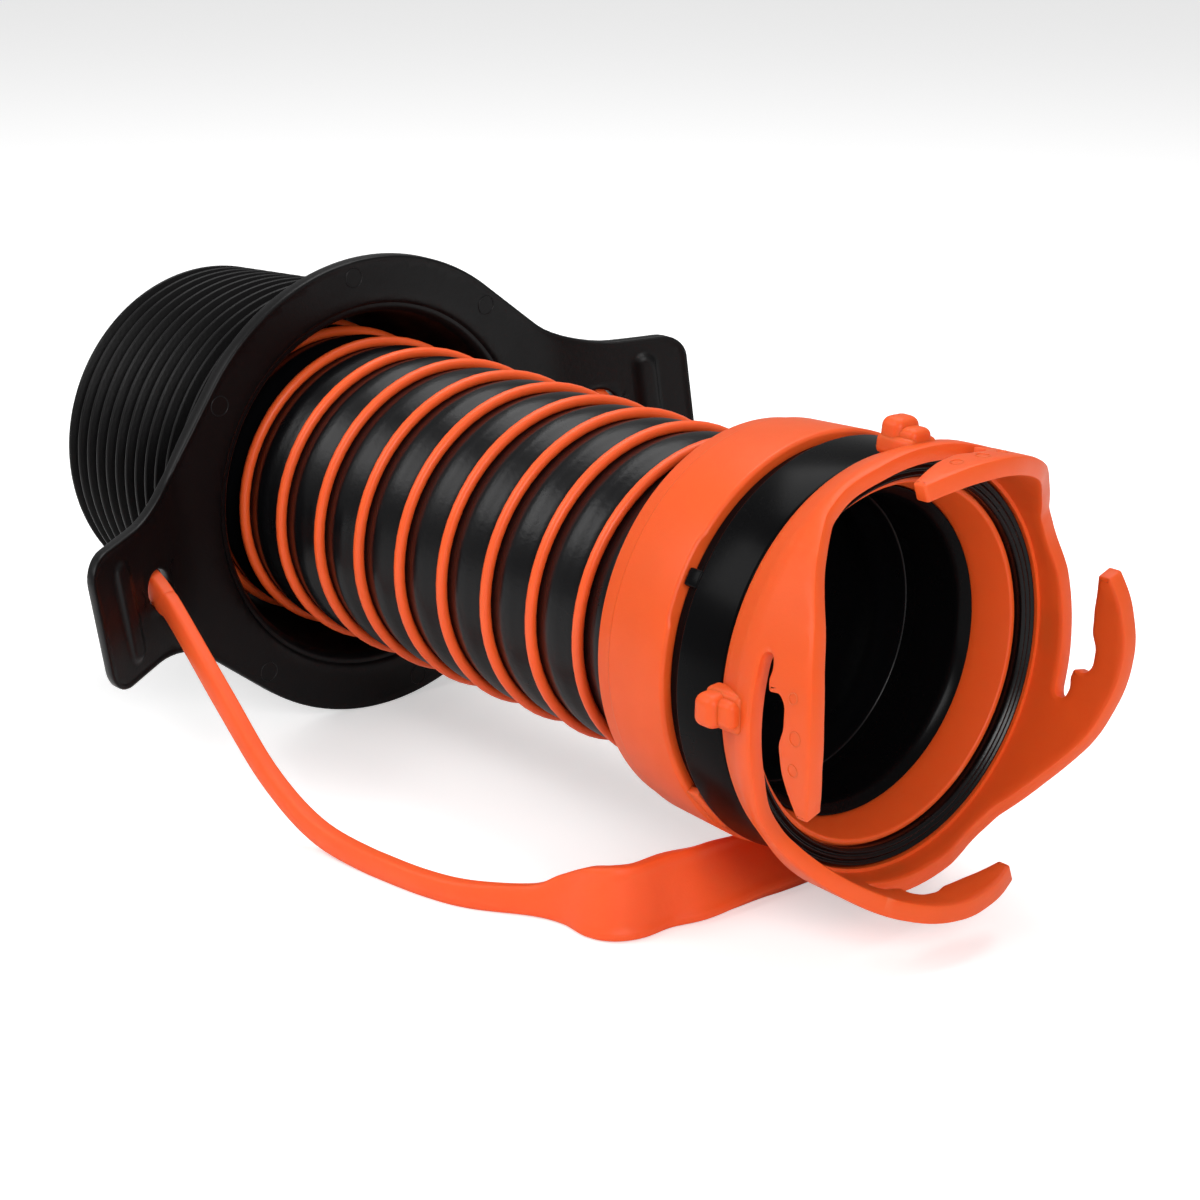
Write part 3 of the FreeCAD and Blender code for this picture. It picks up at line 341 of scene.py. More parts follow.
def fill_dust(tree, source, result):
    """Mask of fine dust that lies thicker on the faces that look up."""
    geometry = tree.nodes.new("ShaderNodeNewGeometry")
    parts = tree.nodes.new("ShaderNodeSeparateXYZ")
    tree.links.new(geometry.outputs["Normal"], parts.inputs[0])
    facing = add_range(tree, parts.outputs["Z"], -0.2, 1.0, 0.1, 1.0)
    speck = add_noise(tree, source["Vector"], source["Speck Scale"], 2.0, 0.7)
    cloud = add_noise(tree, source["Vector"], 35.0, 3.0, 0.6)
    specks = add_math(tree, "MULTIPLY", add_range(tree, speck, 0.55, 0.75, 0.0, 1.0),
                      add_range(tree, cloud, 0.4, 0.65, 0.2, 1.0))
    tree.links.new(add_math(tree, "MULTIPLY", facing, specks), result["Dust"])


GROUPS = {
    "Moulded Grain": (fill_grain, (("Fine Scale", 1400.0), ("Broad Scale", 60.0)), ("Grain", "Mottle")),
    "Worn Edge": (fill_wear_and_highlight, (("Patch Scale", 260.0), ("Sharpness", 0.54)), ("Edge",)),
    "Settled Dust": (fill_dust, (("Speck Scale", 900.0),), ("Dust",)),
}


def shared_group(name):
    """Shader group from the table, with named sockets, built once."""
    if name in bpy.data.node_groups:
        return bpy.data.node_groups[name]
    fill, inputs, outputs = GROUPS[name]
    tree = bpy.data.node_groups.new(name, "ShaderNodeTree")
    tree.interface.new_socket(name="Vector", in_out="INPUT", socket_type="NodeSocketVector")
    for label, value in inputs:
        socket = tree.interface.new_socket(name=label, in_out="INPUT", socket_type="NodeSocketFloat")
        socket.default_value = value
    for label in outputs:
        tree.interface.new_socket(name=label, in_out="OUTPUT", socket_type="NodeSocketFloat")
    fill(tree, tree.nodes.new("NodeGroupInput").outputs, tree.nodes.new("NodeGroupOutput").inputs)
    return tree


def place_group(material, name, **values):
    """Shared group in a material, fed by Object coordinates, with its own values."""
    tree = material.node_tree
    node = tree.nodes.new("ShaderNodeGroup")
    node.node_tree = shared_group(name)
    coordinates = tree.nodes.get("Texture Coordinate") or tree.nodes.new("ShaderNodeTexCoord")
    tree.links.new(coordinates.outputs["Object"], node.inputs["Vector"])
    for label, value in values.items():
        node.inputs[label.replace("_", " ").title()].default_value = value
    return node


def mix_colour(tree, factor, first, second):
    """Mix of two colours by a mask, as its output."""
    node = tree.nodes.new("ShaderNodeMix")
    node.data_type = "RGBA"
    tree.links.new(factor, node.inputs[0])
    for socket, colour in ((node.inputs[6], first), (node.inputs[7], second)):
        if isinstance(colour, tuple):
            socket.default_value = (*colour[:3], 1.0)
        else:
            tree.links.new(colour, socket)
    return node.outputs[2]


DUST_GREY = (0.45, 0.43, 0.41)
GLOW_RADIUS = (0.003, 0.0007, 0.0003)
RUBBED_AND_LIT_SHARE = 0.45


def moulded_finish(name, colour, shade, roughness, spread, grain, fine_scale, wear_and_highlight, dust,
                   worn=(1.0, 1.0, 1.0), broad_scale=60.0, coat=0.0, coat_roughness=0.1, metallic=0.0,
                   specular=0.5, glow=0.0):
    """Moulded or drawn surface with grain, mottle, edges lightened partly by wear and partly as a painted
    highlight, and settled dust.
    """
    if name in bpy.data.materials:
        return bpy.data.materials[name]
    material = bpy.data.materials.new(name)
    material.use_nodes = True
    tree = material.node_tree
    tree.nodes.clear()
    output = tree.nodes.new("ShaderNodeOutputMaterial")
    shader = tree.nodes.new("ShaderNodeBsdfPrincipled")
    tree.links.new(shader.outputs["BSDF"], output.inputs["Surface"])
    surface = place_group(material, "Moulded Grain", fine_scale=fine_scale, broad_scale=broad_scale)
    edges = place_group(material, "Worn Edge")
    specks = place_group(material, "Settled Dust")
    base = tuple(colour)[:3]
    darker = tuple(level * shade for level in base)
    # Sharp edges turn lighter and paler here, partly as rubbed wear and partly as a painted highlight.
    light = min(1, max(base) * 1.5 + 0.1)
    rubbed_and_lit = tuple(level * (1 - RUBBED_AND_LIT_SHARE) + RUBBED_AND_LIT_SHARE * part * light
                   for level, part in zip(base, worn))
    mottled = mix_colour(tree, surface.outputs["Mottle"], base, darker)
    with_wear_and_highlight = mix_colour(tree, add_math(tree, "MULTIPLY", edges.outputs["Edge"], wear_and_highlight), mottled, rubbed_and_lit)
    dusty = add_math(tree, "MULTIPLY", specks.outputs["Dust"], dust)
    tree.links.new(mix_colour(tree, dusty, with_wear_and_highlight, DUST_GREY), shader.inputs["Base Color"])
    rough = add_range(tree, surface.outputs["Mottle"], 0.0, 1.0, roughness - spread, roughness + spread)
    tree.links.new(add_math(tree, "ADD", rough, dusty), shader.inputs["Roughness"])
    bump = tree.nodes.new("ShaderNodeBump")
    bump.inputs["Distance"].default_value = grain
    tree.links.new(surface.outputs["Grain"], bump.inputs["Height"])
    tree.links.new(bump.outputs["Normal"], shader.inputs["Normal"])
    set_inputs(shader, {"Metallic": metallic, "Specular IOR Level": specular, "Coat Weight": coat,
                        "Coat Roughness": coat_roughness})
    if glow:
        set_inputs(shader, {"Subsurface Weight": glow, "Subsurface Scale": 1.0,
                            "Subsurface Radius": GLOW_RADIUS})
    return material


# The edge values lighten sharp edges, partly as wear and partly as a painted highlight.
FINISHES = {
    # Hard orange plastic of the ring and the collar
    "fitting_plastic": dict(
        colour="fitting", shade=0.93, roughness=0.42, spread=0.04, grain=3e-5, fine_scale=1800.0,
        wear_and_highlight=0.25, worn=(1.0, 0.62, 0.42), dust=0.02, specular=0.28, glow=0.3),
    # Softer orange of the strap handle
    "strap_plastic": dict(
        colour="strap", shade=0.94, roughness=0.48, spread=0.05, grain=4e-5, fine_scale=1100.0,
        wear_and_highlight=0.2, worn=(1.0, 0.6, 0.4), dust=0.025, specular=0.3, glow=0.4),
    # Orange of the hose's bead
    "bead_plastic": dict(
        colour="bead", shade=0.92, roughness=0.38, spread=0.05, grain=3e-5, fine_scale=1300.0,
        wear_and_highlight=0.1, worn=(1.0, 0.6, 0.4), dust=0.02, specular=0.35, glow=0.2),
    # Satin black rubber of the seal
    "satin_rubber": dict(
        colour="rubber", shade=0.8, roughness=0.37, spread=0.06, grain=5e-5, fine_scale=900.0,
        wear_and_highlight=0.35, worn=(0.4, 0.4, 0.42), dust=0.012, specular=0.22),
    # Glossy black rubber of the gaskets and the swivel's O-ring
    "glossy_rubber": dict(
        colour="barrel", shade=0.85, roughness=0.25, spread=0.05, grain=3e-5, fine_scale=1200.0,
        wear_and_highlight=0.03, worn=(0.3, 0.3, 0.3), dust=0.01, specular=0.22),
    # Glossy black plastic of the adapter
    "adapter_plastic": dict(
        colour="barrel", shade=0.9, roughness=0.26, spread=0.03, grain=1e-5, fine_scale=700.0,
        wear_and_highlight=0.01, worn=(0.3, 0.3, 0.3), dust=0.008, specular=0.05, coat=0.01, coat_roughness=0.15),
    # Black vinyl of the hose's wall, a little glossy along its swellings
    "hose_vinyl": dict(
        colour="vinyl", shade=0.85, roughness=0.31, spread=0.05, grain=6e-5, fine_scale=600.0,
        broad_scale=90.0, wear_and_highlight=0.05, worn=(0.35, 0.35, 0.36), dust=0.01, specular=0.24),
    # Drawn steel of the wire and the snap ring
    "drawn_steel": dict(
        colour=(0.62, 0.61, 0.59), shade=0.85, roughness=0.3, spread=0.08, grain=1e-5,
        fine_scale=2500.0, wear_and_highlight=0.1, dust=0.0, metallic=1.0),
}


def kit_finish(name):
    values = dict(FINISHES[name])
    if isinstance(values["colour"], str):
        values["colour"] = getattr(bpy.context.scene.hose_kit_colours, values["colour"])
    return moulded_finish(name, **values)


# Hose

BEAD_CENTRE = 42.6
BEAD_START = HOSE_FRONT - 3.5
BEAD_PHASE = math.radians(276)
BEAD_TURNS = 13.75
BEAD_STEPS = 64
WALL_RADIUS = 41.2
BORE_RADIUS = 38.1
PLAIN_END = 6
BORE_SHARE = 0.35


def bead_share(x, angle, pitch):
    """Place of a point between two turns of the bead, from 0 on one towards the coupler to 1."""
    return ((angle - BEAD_PHASE) / FULL - (BEAD_START - x) / pitch) % 1.0


def build_hose_wall(sizes):
    """Corrugated wall whose bays swell in front of each bead and fold behind the next."""
    pitch, swell, valley = sizes.bead_pitch / MM, sizes.bay_swell / MM, sizes.bay_valley / MM
    bay = (  # Place between two turns of the bead, and rise
        (0.0, 0.1), (0.10, 0.0), (0.22, 0.55 * swell), (0.36, swell), (0.50, 0.72 * swell),
        (0.62, 0.1 * swell), (0.72, -0.25 * valley), (0.80, -0.75 * valley), (0.87, -valley),
        (0.94, -0.6 * valley), (1.0, 0.1),
    )
    bm = bmesh.new()
    turn_outline(bm, (
        (HOSE_FRONT, BORE_RADIUS, 0.4), (HOSE_FRONT, WALL_RADIUS, 0.4),
        (HOSE_END, WALL_RADIUS, 0.4), (HOSE_END, BORE_RADIUS, 0.4),
    ), steps=144, segments=2, splits=((WALL_RADIUS - 0.1, 300), (BORE_RADIUS - 0.1, 120)))
    for vert in bm.verts:
        x, angle = vert.co.x, math.atan2(vert.co.z, vert.co.y)
        radius = math.hypot(vert.co.y, vert.co.z)
        ends = soft_step(HOSE_END, HOSE_END + PLAIN_END, x) * soft_step(HOSE_FRONT, HOSE_FRONT - PLAIN_END, x)
        rise = along_table(bay, bead_share(x, angle, pitch)) * ends
        share = 1.0 if radius > WALL_RADIUS - 0.5 else BORE_SHARE
        scale = (radius + share * rise) / radius
        vert.co.y *= scale
        vert.co.z *= scale
    finish_piece(bm, "hose_wall", "hose", kit_finish("hose_vinyl"), crease=60)


def build_hose_bead(sizes):
    """Orange bead that winds round the wall."""
    advance = sizes.bead_pitch / MM / BEAD_STEPS
    bm = bmesh.new()
    ring = bmesh.ops.create_circle(bm, cap_ends=True, segments=12, radius=sizes.bead_radius / MM)["verts"]
    bmesh.ops.rotate(bm, verts=ring, cent=(0, 0, 0), matrix=Matrix.Rotation(QUARTER, 3, "X"))
    bmesh.ops.translate(bm, verts=ring, vec=(BEAD_START, 0, BEAD_CENTRE))
    turn_about_hose(bm, ring, math.degrees(BEAD_PHASE))
    last = bmesh.ops.spin(bm, geom=ring + list(bm.edges), cent=(0, 0, 0), axis=(1, 0, 0),
                          dvec=(-advance, 0, 0), angle=FULL * BEAD_TURNS,
                          steps=round(BEAD_TURNS * BEAD_STEPS), use_merge=False)["geom_last"]
    bmesh.ops.contextual_create(bm, geom=[part for part in last if isinstance(part, bmesh.types.BMEdge)])
    finish_piece(bm, "hose_bead", "hose", kit_finish("bead_plastic"), crease=50)


class HOSEKIT_OT_hose(bpy.types.Operator):
    """Builds the hose's corrugated wall and its bead"""

    bl_idname = "hose_kit.hose"
    bl_label = "Build Hose"

    def execute(self, context):
        build_hose_wall(context.scene.hose_kit_sizes)
        build_hose_bead(context.scene.hose_kit_sizes)
        return {"FINISHED"}


# Adapter

BARREL_FRONT, BARREL_NOSE = -7.4, 50.8
BARREL_REAR, BARREL_TAIL = -21.6, 52.4
RECESS_REAR = -25.7
SKIRT_END = -49.0
SHOULDER = -30.0
POCKET_END = -22.5
POCKET_RADIUS = 45.8
SNAP_STATION = -19.2
LIP_FRONT = -13.1
RECESS_RADIUS = 50.3
SKIRT_RADIUS = 48.5
SKIRT_BORE = 44.8
ADAPTER_BORE = 38.5
LIP_RADIUS = 41.5
GROOVE_RADIUS = 46.6
SNAP_REAR, SNAP_FRONT = SNAP_STATION - 1, SNAP_STATION + 1
LUG_ANGLES, LUG_RADIUS = (150, 330), 50.8
KEY_ANGLES, KEY_STATION = (90, 270), -37.9


class HOSEKIT_OT_adapter(bpy.types.Operator):
    """Builds the black adapter with its barrel, recess, skirt, lugs and keys"""

    bl_idname = "hose_kit.adapter"
    bl_label = "Build Adapter"

    def execute(self, context):
        bm = bmesh.new()
        turn_outline(bm, (
            (LIP_FRONT - 2.4, ADAPTER_BORE, 1.3), (LIP_FRONT, LIP_RADIUS, 0.6), (POCKET_END, LIP_RADIUS, 0),
            (POCKET_END, POCKET_RADIUS, 0), (SNAP_REAR, POCKET_RADIUS, 0), (SNAP_REAR, GROOVE_RADIUS, 0),
            (SNAP_FRONT, GROOVE_RADIUS, 0), (SNAP_FRONT, POCKET_RADIUS, 0), (BARREL_FRONT, POCKET_RADIUS, 0.3),
            (BARREL_FRONT, BARREL_NOSE, 1.1), (BARREL_REAR, BARREL_TAIL, 0.7),
            (BARREL_REAR, RECESS_RADIUS, 0.5), (RECESS_REAR, RECESS_RADIUS, 0.4),
            (RECESS_REAR, SKIRT_RADIUS, 0.3), (SKIRT_END, SKIRT_RADIUS, 0.4), (SKIRT_END, SKIRT_BORE, 0.4),
            (SHOULDER, SKIRT_BORE, 0), (SHOULDER, ADAPTER_BORE, 0),
        ), segments=4)
        width = BARREL_REAR - RECESS_REAR + 0.3
        middle = (BARREL_REAR + RECESS_REAR) / 2
        for angle in LUG_ANGLES:
            lug = rounded_block(bm, (width, 4.5, 3.0), (middle, 0, LUG_RADIUS), 0.6)
            turn_about_hose(bm, lug, angle)
        for angle in KEY_ANGLES:
            key = rounded_block(bm, (4.0, 7.0, 2.5), (KEY_STATION, 0, SKIRT_RADIUS + 0.25), 0.5)
            turn_about_hose(bm, key, angle)
        finish_piece(bm, "adapter_body", "hose", kit_finish("adapter_plastic"))
        return {"FINISHED"}


# Locking collar

COLLAR_FRONT = -25.9
COLLAR_BORE = 48.9
COLLAR_RADIUS = 52.9
COLLAR_FACE = 0.8
COLLAR_LIP = 45.2
LIP_STATION = -49.3
GROOVE_REAR, GROOVE_FRONT, GROOVE_TOP = -41.1, -35.0, 50.4
NOTCH_DEPTH, NOTCH_START, NOTCH_END, NOTCH_BLEND = 0.8, 138, 164, 2.5
TOOTH_ANGLES = (41, 221)
TOOTH_SIZE = (4.4, 14.5, 1.9)
TOOTH_RADIUS = 51.6


class HOSEKIT_OT_collar(bpy.types.Operator):
    """Builds the orange locking collar with its bevels, notches and teeth"""

    bl_idname = "hose_kit.collar"
    bl_label = "Build Locking Collar"

    def execute(self, context):
        bm = bmesh.new()
        turn_outline(bm, (
            (COLLAR_FRONT, COLLAR_BORE, 0.3), (COLLAR_FRONT, COLLAR_RADIUS - COLLAR_FACE, 0.3),
            (COLLAR_FRONT - COLLAR_FACE, COLLAR_RADIUS, 0.35), (-45.9, 51.9, 1.0), (-46.4, 51.55, 0.2),
            (COLLAR_REAR, 50.8, 0.7), (COLLAR_REAR, COLLAR_LIP, 0.5), (LIP_STATION, COLLAR_LIP, 0.3),
            (LIP_STATION, COLLAR_BORE, 0), (GROOVE_REAR, COLLAR_BORE, 0), (GROOVE_REAR, GROOVE_TOP, 0),
            (GROOVE_FRONT, GROOVE_TOP, 0), (GROOVE_FRONT, COLLAR_BORE, 0),
        ), steps=240)
        for vert in bm.verts:
            radius = math.hypot(vert.co.y, vert.co.z)
            angle = math.degrees(math.atan2(vert.co.z, vert.co.y)) % 180
            if vert.co.x > COLLAR_FRONT - 2 and radius > 50.5:
                inside = (soft_step(NOTCH_START, NOTCH_START + NOTCH_BLEND, angle)
                          * soft_step(NOTCH_END, NOTCH_END - NOTCH_BLEND, angle))
                vert.co.x -= NOTCH_DEPTH * inside
        for angle in TOOTH_ANGLES:
            tooth = rounded_block(bm, TOOTH_SIZE, (COLLAR_FRONT + 1.2, 0, TOOTH_RADIUS), 0.35)
            for vert in tooth:
                vert.co.z -= vert.co.y ** 2 / 103
            turn_about_hose(bm, tooth, angle)
        finish_piece(bm, "locking_collar", "collar", kit_finish("fitting_plastic"))
        return {"FINISHED"}


# Bayonet ring

RING_REAR = -6.8
FLARE_FRONT = 3.0
VIEW_RADIUS = 53.9
# Stations and radii of the wall, then angle, station and rounding of each corner of a hook
WALL_OUTSIDE = ((RING_REAR, 51.8), (FLARE_FRONT, 56.0), (HOOK_TIP, 56.8))
WALL_INSIDE = ((RING_REAR, 49.0), (-4.1, 49.0), (-4.0, 51.0), (-0.1, 51.0), (0.1, 51.8), (HOOK_TIP, 51.8))
HOOK_OUTLINE = (
    (-55.0, 6.4, 0), (-41.8, 13.0, 1.6), (-26.8, 21.6, 4.0), (-11.5, 26.1, 4.0), (0.0, 27.15, 3.0),
    (12.0, 25.7, 2.4), (19.3, 23.5, 0.6), (19.4, 19.9, 0.6), (11.5, 18.0, 1.5), (8.0, 17.2, 0.9),
    (1.0, 16.6, 1.0), (-3.0, 18.0, 1.0), (-8.6, 17.7, 1.2), (-10.8, 15.6, 0.9), (-10.4, 12.2, 0.6),
    (-13.0, 11.6, 0.6), (-16.0, 12.2, 1.0), (-19.1, 11.2, 1.1), (-19.1, 8.6, 1.1), (-17.0, 7.8, 0.9),
    (-8.0, 7.6, 1.5), (15.7, 6.7, 0.9), (26.0, 5.1, 3.0), (35.0, 6.4, 1.4), (48.2, 13.0, 0),
)
HOOK_RIM = ((0.12, 0.24), (0.22, 0.12), (0.8, 0.2))
WALL_ROWS = (-4.1, -4.0, -0.1, 0.1, FLARE_FRONT, 6, 9, 12, 15, 18, 21, 24)
HOOK_MARKS = ((-11.0, 20.4, 1.3), (-2.0, 22.2, 1.7), (6.0, 21.4, 1.5))
MARK_SECTION = 0.16
# Size, centre, rounding, segments and taper of a tab's lobe, toe and foot
TAB_BLOCKS = (
    ((6.8, 9.4, 9.0), (-3.6, 0, 56.5), 2.3, 6, 0.82), ((6.4, 7.8, 7.0), (0.8, 0, 55.6), 1.8, 6, 0.82),
    ((11.4, 10.2, 4.8), (-1.5, 0, 54.5), 1.4, 4, 0.9),
)
TAB_ANGLE = 88
SLEEVE_REAR = -21.8
SLEEVE_RADIUS = 45.4
SLEEVE_BORE = 41.8
SNAP_FLOOR = 44.6
ORING_REAR, ORING_FRONT, ORING_FLOOR = -13.45, -10.95, 43.55
WEB_REAR, WEB_FRONT, WEB_RADIUS = -6.7, -4.0, 50.5
FUNNEL_REAR, FUNNEL_FRONT, FUNNEL_MOUTH, FUNNEL_RADIUS = -12.8, -3.0, 44.4, 45.8


def ring_wall(bm):
    """Outer wall with four hooks, cut flat as one sector and wrapped round the hose's axis."""
    outline = ((HOOK_OUTLINE[0][0], RING_REAR, 0), *HOOK_OUTLINE, (HOOK_OUTLINE[-1][0], RING_REAR, 0))
    corners = [(bm.verts.new((x, math.radians(angle) * VIEW_RADIUS, 0)), rounding)
               for angle, x, rounding in outline]
    depth = inset_rim(bm, round_outline(bm, corners, 4), HOOK_RIM)
    limit = math.radians(45) * VIEW_RADIUS
    trim(bm, limit, 1, False)
    trim(bm, -limit, 1, True)
    cut_rows(bm, WALL_ROWS, 0)
    cut_rows(bm, [math.radians(step) * VIEW_RADIUS for step in range(-42, 43, 3)], 1)
    under = double_sheet(bm, ((1, limit), (1, -limit)))
    for vert in bm.verts:
        x, angle, low = vert.co.x, vert.co.y / VIEW_RADIUS, depth - vert.co.z
        radius = along_table(WALL_INSIDE, x) + low if vert in under else along_table(WALL_OUTSIDE, x) - low
        vert.co = (x, radius * math.sin(-angle), radius * math.cos(angle))
    sector = everything(bm)
    for turn in range(1, 4):
        copy = bmesh.ops.duplicate(bm, geom=sector)["geom"]
        turn_about_hose(bm, [part for part in copy if isinstance(part, bmesh.types.BMVert)], 90 + 90 * turn)
    bmesh.ops.remove_doubles(bm, verts=bm.verts, dist=0.01)


def ring_tabs(bm):
    """Four finger tabs, each a high rounded lobe with a lower toe in front of it, on a low foot."""
    for turn in range(4):
        for block in TAB_BLOCKS:
            turn_about_hose(bm, rounded_block(bm, *block), TAB_ANGLE + 90 * turn)


def hook_marks(bm):
    """Round ejector marks on the outside of each hook."""
    for turn in range(4):
        for angle, x, radius in HOOK_MARKS:
            mark = raised_ring(bm, radius, MARK_SECTION)
            bmesh.ops.translate(bm, verts=mark, vec=(x, 0, along_table(WALL_OUTSIDE, x)))
            turn_about_hose(bm, mark, 90 + 90 * turn + angle)


class HOSEKIT_OT_ring(bpy.types.Operator):
    """Builds the orange bayonet ring with its hooks, tabs, funnel and sleeve"""

    bl_idname = "hose_kit.ring"
    bl_label = "Build Bayonet Ring"

    def execute(self, context):
        bm = bmesh.new()
        ring_wall(bm)
        turn_outline(bm, (
            (SLEEVE_REAR, SLEEVE_BORE, 0.4), (SLEEVE_REAR, SLEEVE_RADIUS, 0.4), (SNAP_REAR, SLEEVE_RADIUS, 0),
            (SNAP_REAR, SNAP_FLOOR, 0), (SNAP_FRONT, SNAP_FLOOR, 0), (SNAP_FRONT, SLEEVE_RADIUS, 0),
            (ORING_REAR, SLEEVE_RADIUS, 0), (ORING_REAR, ORING_FLOOR, 0), (ORING_FRONT, ORING_FLOOR, 0),
            (ORING_FRONT, SLEEVE_RADIUS, 0), (WEB_REAR, SLEEVE_RADIUS, 0.3), (WEB_REAR, WEB_RADIUS, 0),
            (WEB_FRONT, WEB_RADIUS, 0), (WEB_FRONT, FUNNEL_RADIUS, 0), (FUNNEL_FRONT, FUNNEL_RADIUS, 0.35),
            (FUNNEL_FRONT, FUNNEL_MOUTH, 0.5), (FUNNEL_REAR, SLEEVE_BORE, 1.5),
        ), segments=4)
        ring_tabs(bm)
        hook_marks(bm)
        finish_piece(bm, "bayonet_ring", "bayonet", kit_finish("fitting_plastic"),
                     crease=28)
        return {"FINISHED"}


class HOSEKIT_OT_gasket(bpy.types.Operator):
    """Builds the ridged face gasket in the mouth"""

    bl_idname = "hose_kit.gasket"
    bl_label = "Build Face Gasket"

    def execute(self, context):
        bm = bmesh.new()
        inside, outside, top, valley, back = 46.1, 50.8, -0.2, -1.1, -3.9
        profile = [(back, inside, 0.3), (valley, inside, 0.3)]
        for step in range(1, 6):
            radius = inside + (outside - inside) * step / 6
            profile.append((top if step % 2 else valley, radius, 0.35))
        profile += [(valley, outside, 0.3), (back, outside, 0.3)]
        turn_outline(bm, profile, steps=160, segments=4)
        finish_piece(bm, "face_gasket", "bayonet", kit_finish("glossy_rubber"), crease=70)
        return {"FINISHED"}


# Seal

FLANGE_FRONT = -207.8
FLANGE_REAR = -211.8
FLANGE_RADIUS = 68.0
BELL_FRONT = 53.9
BELL_REAR = 48.1
BELL_WALL = 2.8
BELL_ROOT = 60.0
MOUTH_BACK = FLANGE_FRONT - 1.2
MOUTH_RADIUS = 53.6
MOUTH_ROUND = 2.6
LIP_BORE = 44.9
LIP_PITCH = 9
LIP_WIDTH = 2.4
FIN_FIRST = 10.5
FIN_PITCH = 5.95
FIN_FOOT, FIN_TOP = 1.1, 0.5
EAR_TILT = math.radians(9)
EAR_ROOT = math.radians(42.6)
EAR_HALF = 20.0
EAR_NECK = 75.0
BLEND = 4.0
EYE_OUT = 15.0
EYE_RADIUS = 5.2
EAR_DROOP = 2.6
EAR_REACH = 44
RIDGE_OUT = 30.2
RIDGE_HALF = 15.0
RIDGE_RISE = 1.4
SEAM_DROP = 3.0
FLANGE_RIM = ((0.2, 0.45), (0.35, 0.2), (0.5, 0.0), (0.45, -0.25))
ROW_PITCH = 2.5
RIDGE_ROWS = [11.2, 13.2, 14.2, 16.0, 17.0]
FLANGE_MARKS = ((3.0, 63.1), (48.0, 41.1), (-48.0, 41.1), (3.0, -63.1), (48.0, -41.1), (-48.0, -41.1))


def bell_radius(x):
    """Outer radius of the bell at a station."""
    return BELL_FRONT - (BELL_FRONT - BELL_REAR) * (FLANGE_REAR - x) / (FLANGE_REAR - SEAL_END)


def bell_profile(fin_rise):
    """Corners of the bell with its gripping lips inside and its fins outside."""
    profile = []
    for lip in range(3):
        back = SEAL_END + LIP_PITCH * lip
        front = back + LIP_WIDTH
        if lip:
            profile.append((back, bell_radius(back) - BELL_WALL, 0))
        profile += [(back, LIP_BORE, 0.5), (front, LIP_BORE, 0.5), (front, bell_radius(front) - BELL_WALL, 0)]
    profile += [
        (FLANGE_FRONT - 3.4, BELL_FRONT - BELL_WALL, 1.0), (MOUTH_BACK, MOUTH_RADIUS - 0.8, 0.5),
        (MOUTH_BACK, BELL_ROOT, 0), (FLANGE_REAR + 0.4, BELL_ROOT, 0), (FLANGE_REAR + 0.4, BELL_FRONT, 0.3),
    ]
    for fin in range(14):
        middle = FLANGE_FRONT - FIN_FIRST - FIN_PITCH * fin
        base = bell_radius(middle)
        profile += [(middle + FIN_FOOT, base, 0.4), (middle + FIN_TOP, base + fin_rise, 0.35),
                    (middle - FIN_TOP, base + fin_rise, 0.35), (middle - FIN_FOOT, base, 0.4)]
    profile.append((SEAL_END, BELL_REAR, 0.8))
    return profile


def sheet_front(out, bend):
    """Station of the front of the flange and ears at a distance out from the hose's axis."""
    past = out - FLANGE_RADIUS
    curved = min(max(past + BLEND, 0), 2 * BLEND) ** 2 / (4 * BLEND)
    return FLANGE_FRONT + math.tan(bend) * (curved + max(past - BLEND, 0))


def arc_corners(bm, centre, across, up, start, end, count):
    """Vertices along an arc in the plane of the flange, as corners without rounding."""
    angles = [start + (end - start) * step / count for step in range(count + 1)]
    return [(bm.verts.new((centre + across * math.cos(angle), up * math.sin(angle), 0)), 0)
            for angle in angles]


def mirror_copy(bm, axis):
    """Adds a copy of everything, turned over about the plane square to an axis."""
    copy = bmesh.ops.duplicate(bm, geom=everything(bm))["geom"]
    flip = Vector((1, 1, 1))
    flip[axis] = -1
    bmesh.ops.scale(bm, vec=flip, verts=[part for part in copy if isinstance(part, bmesh.types.BMVert)])
    bmesh.ops.remove_doubles(bm, verts=bm.verts, dist=0.005)


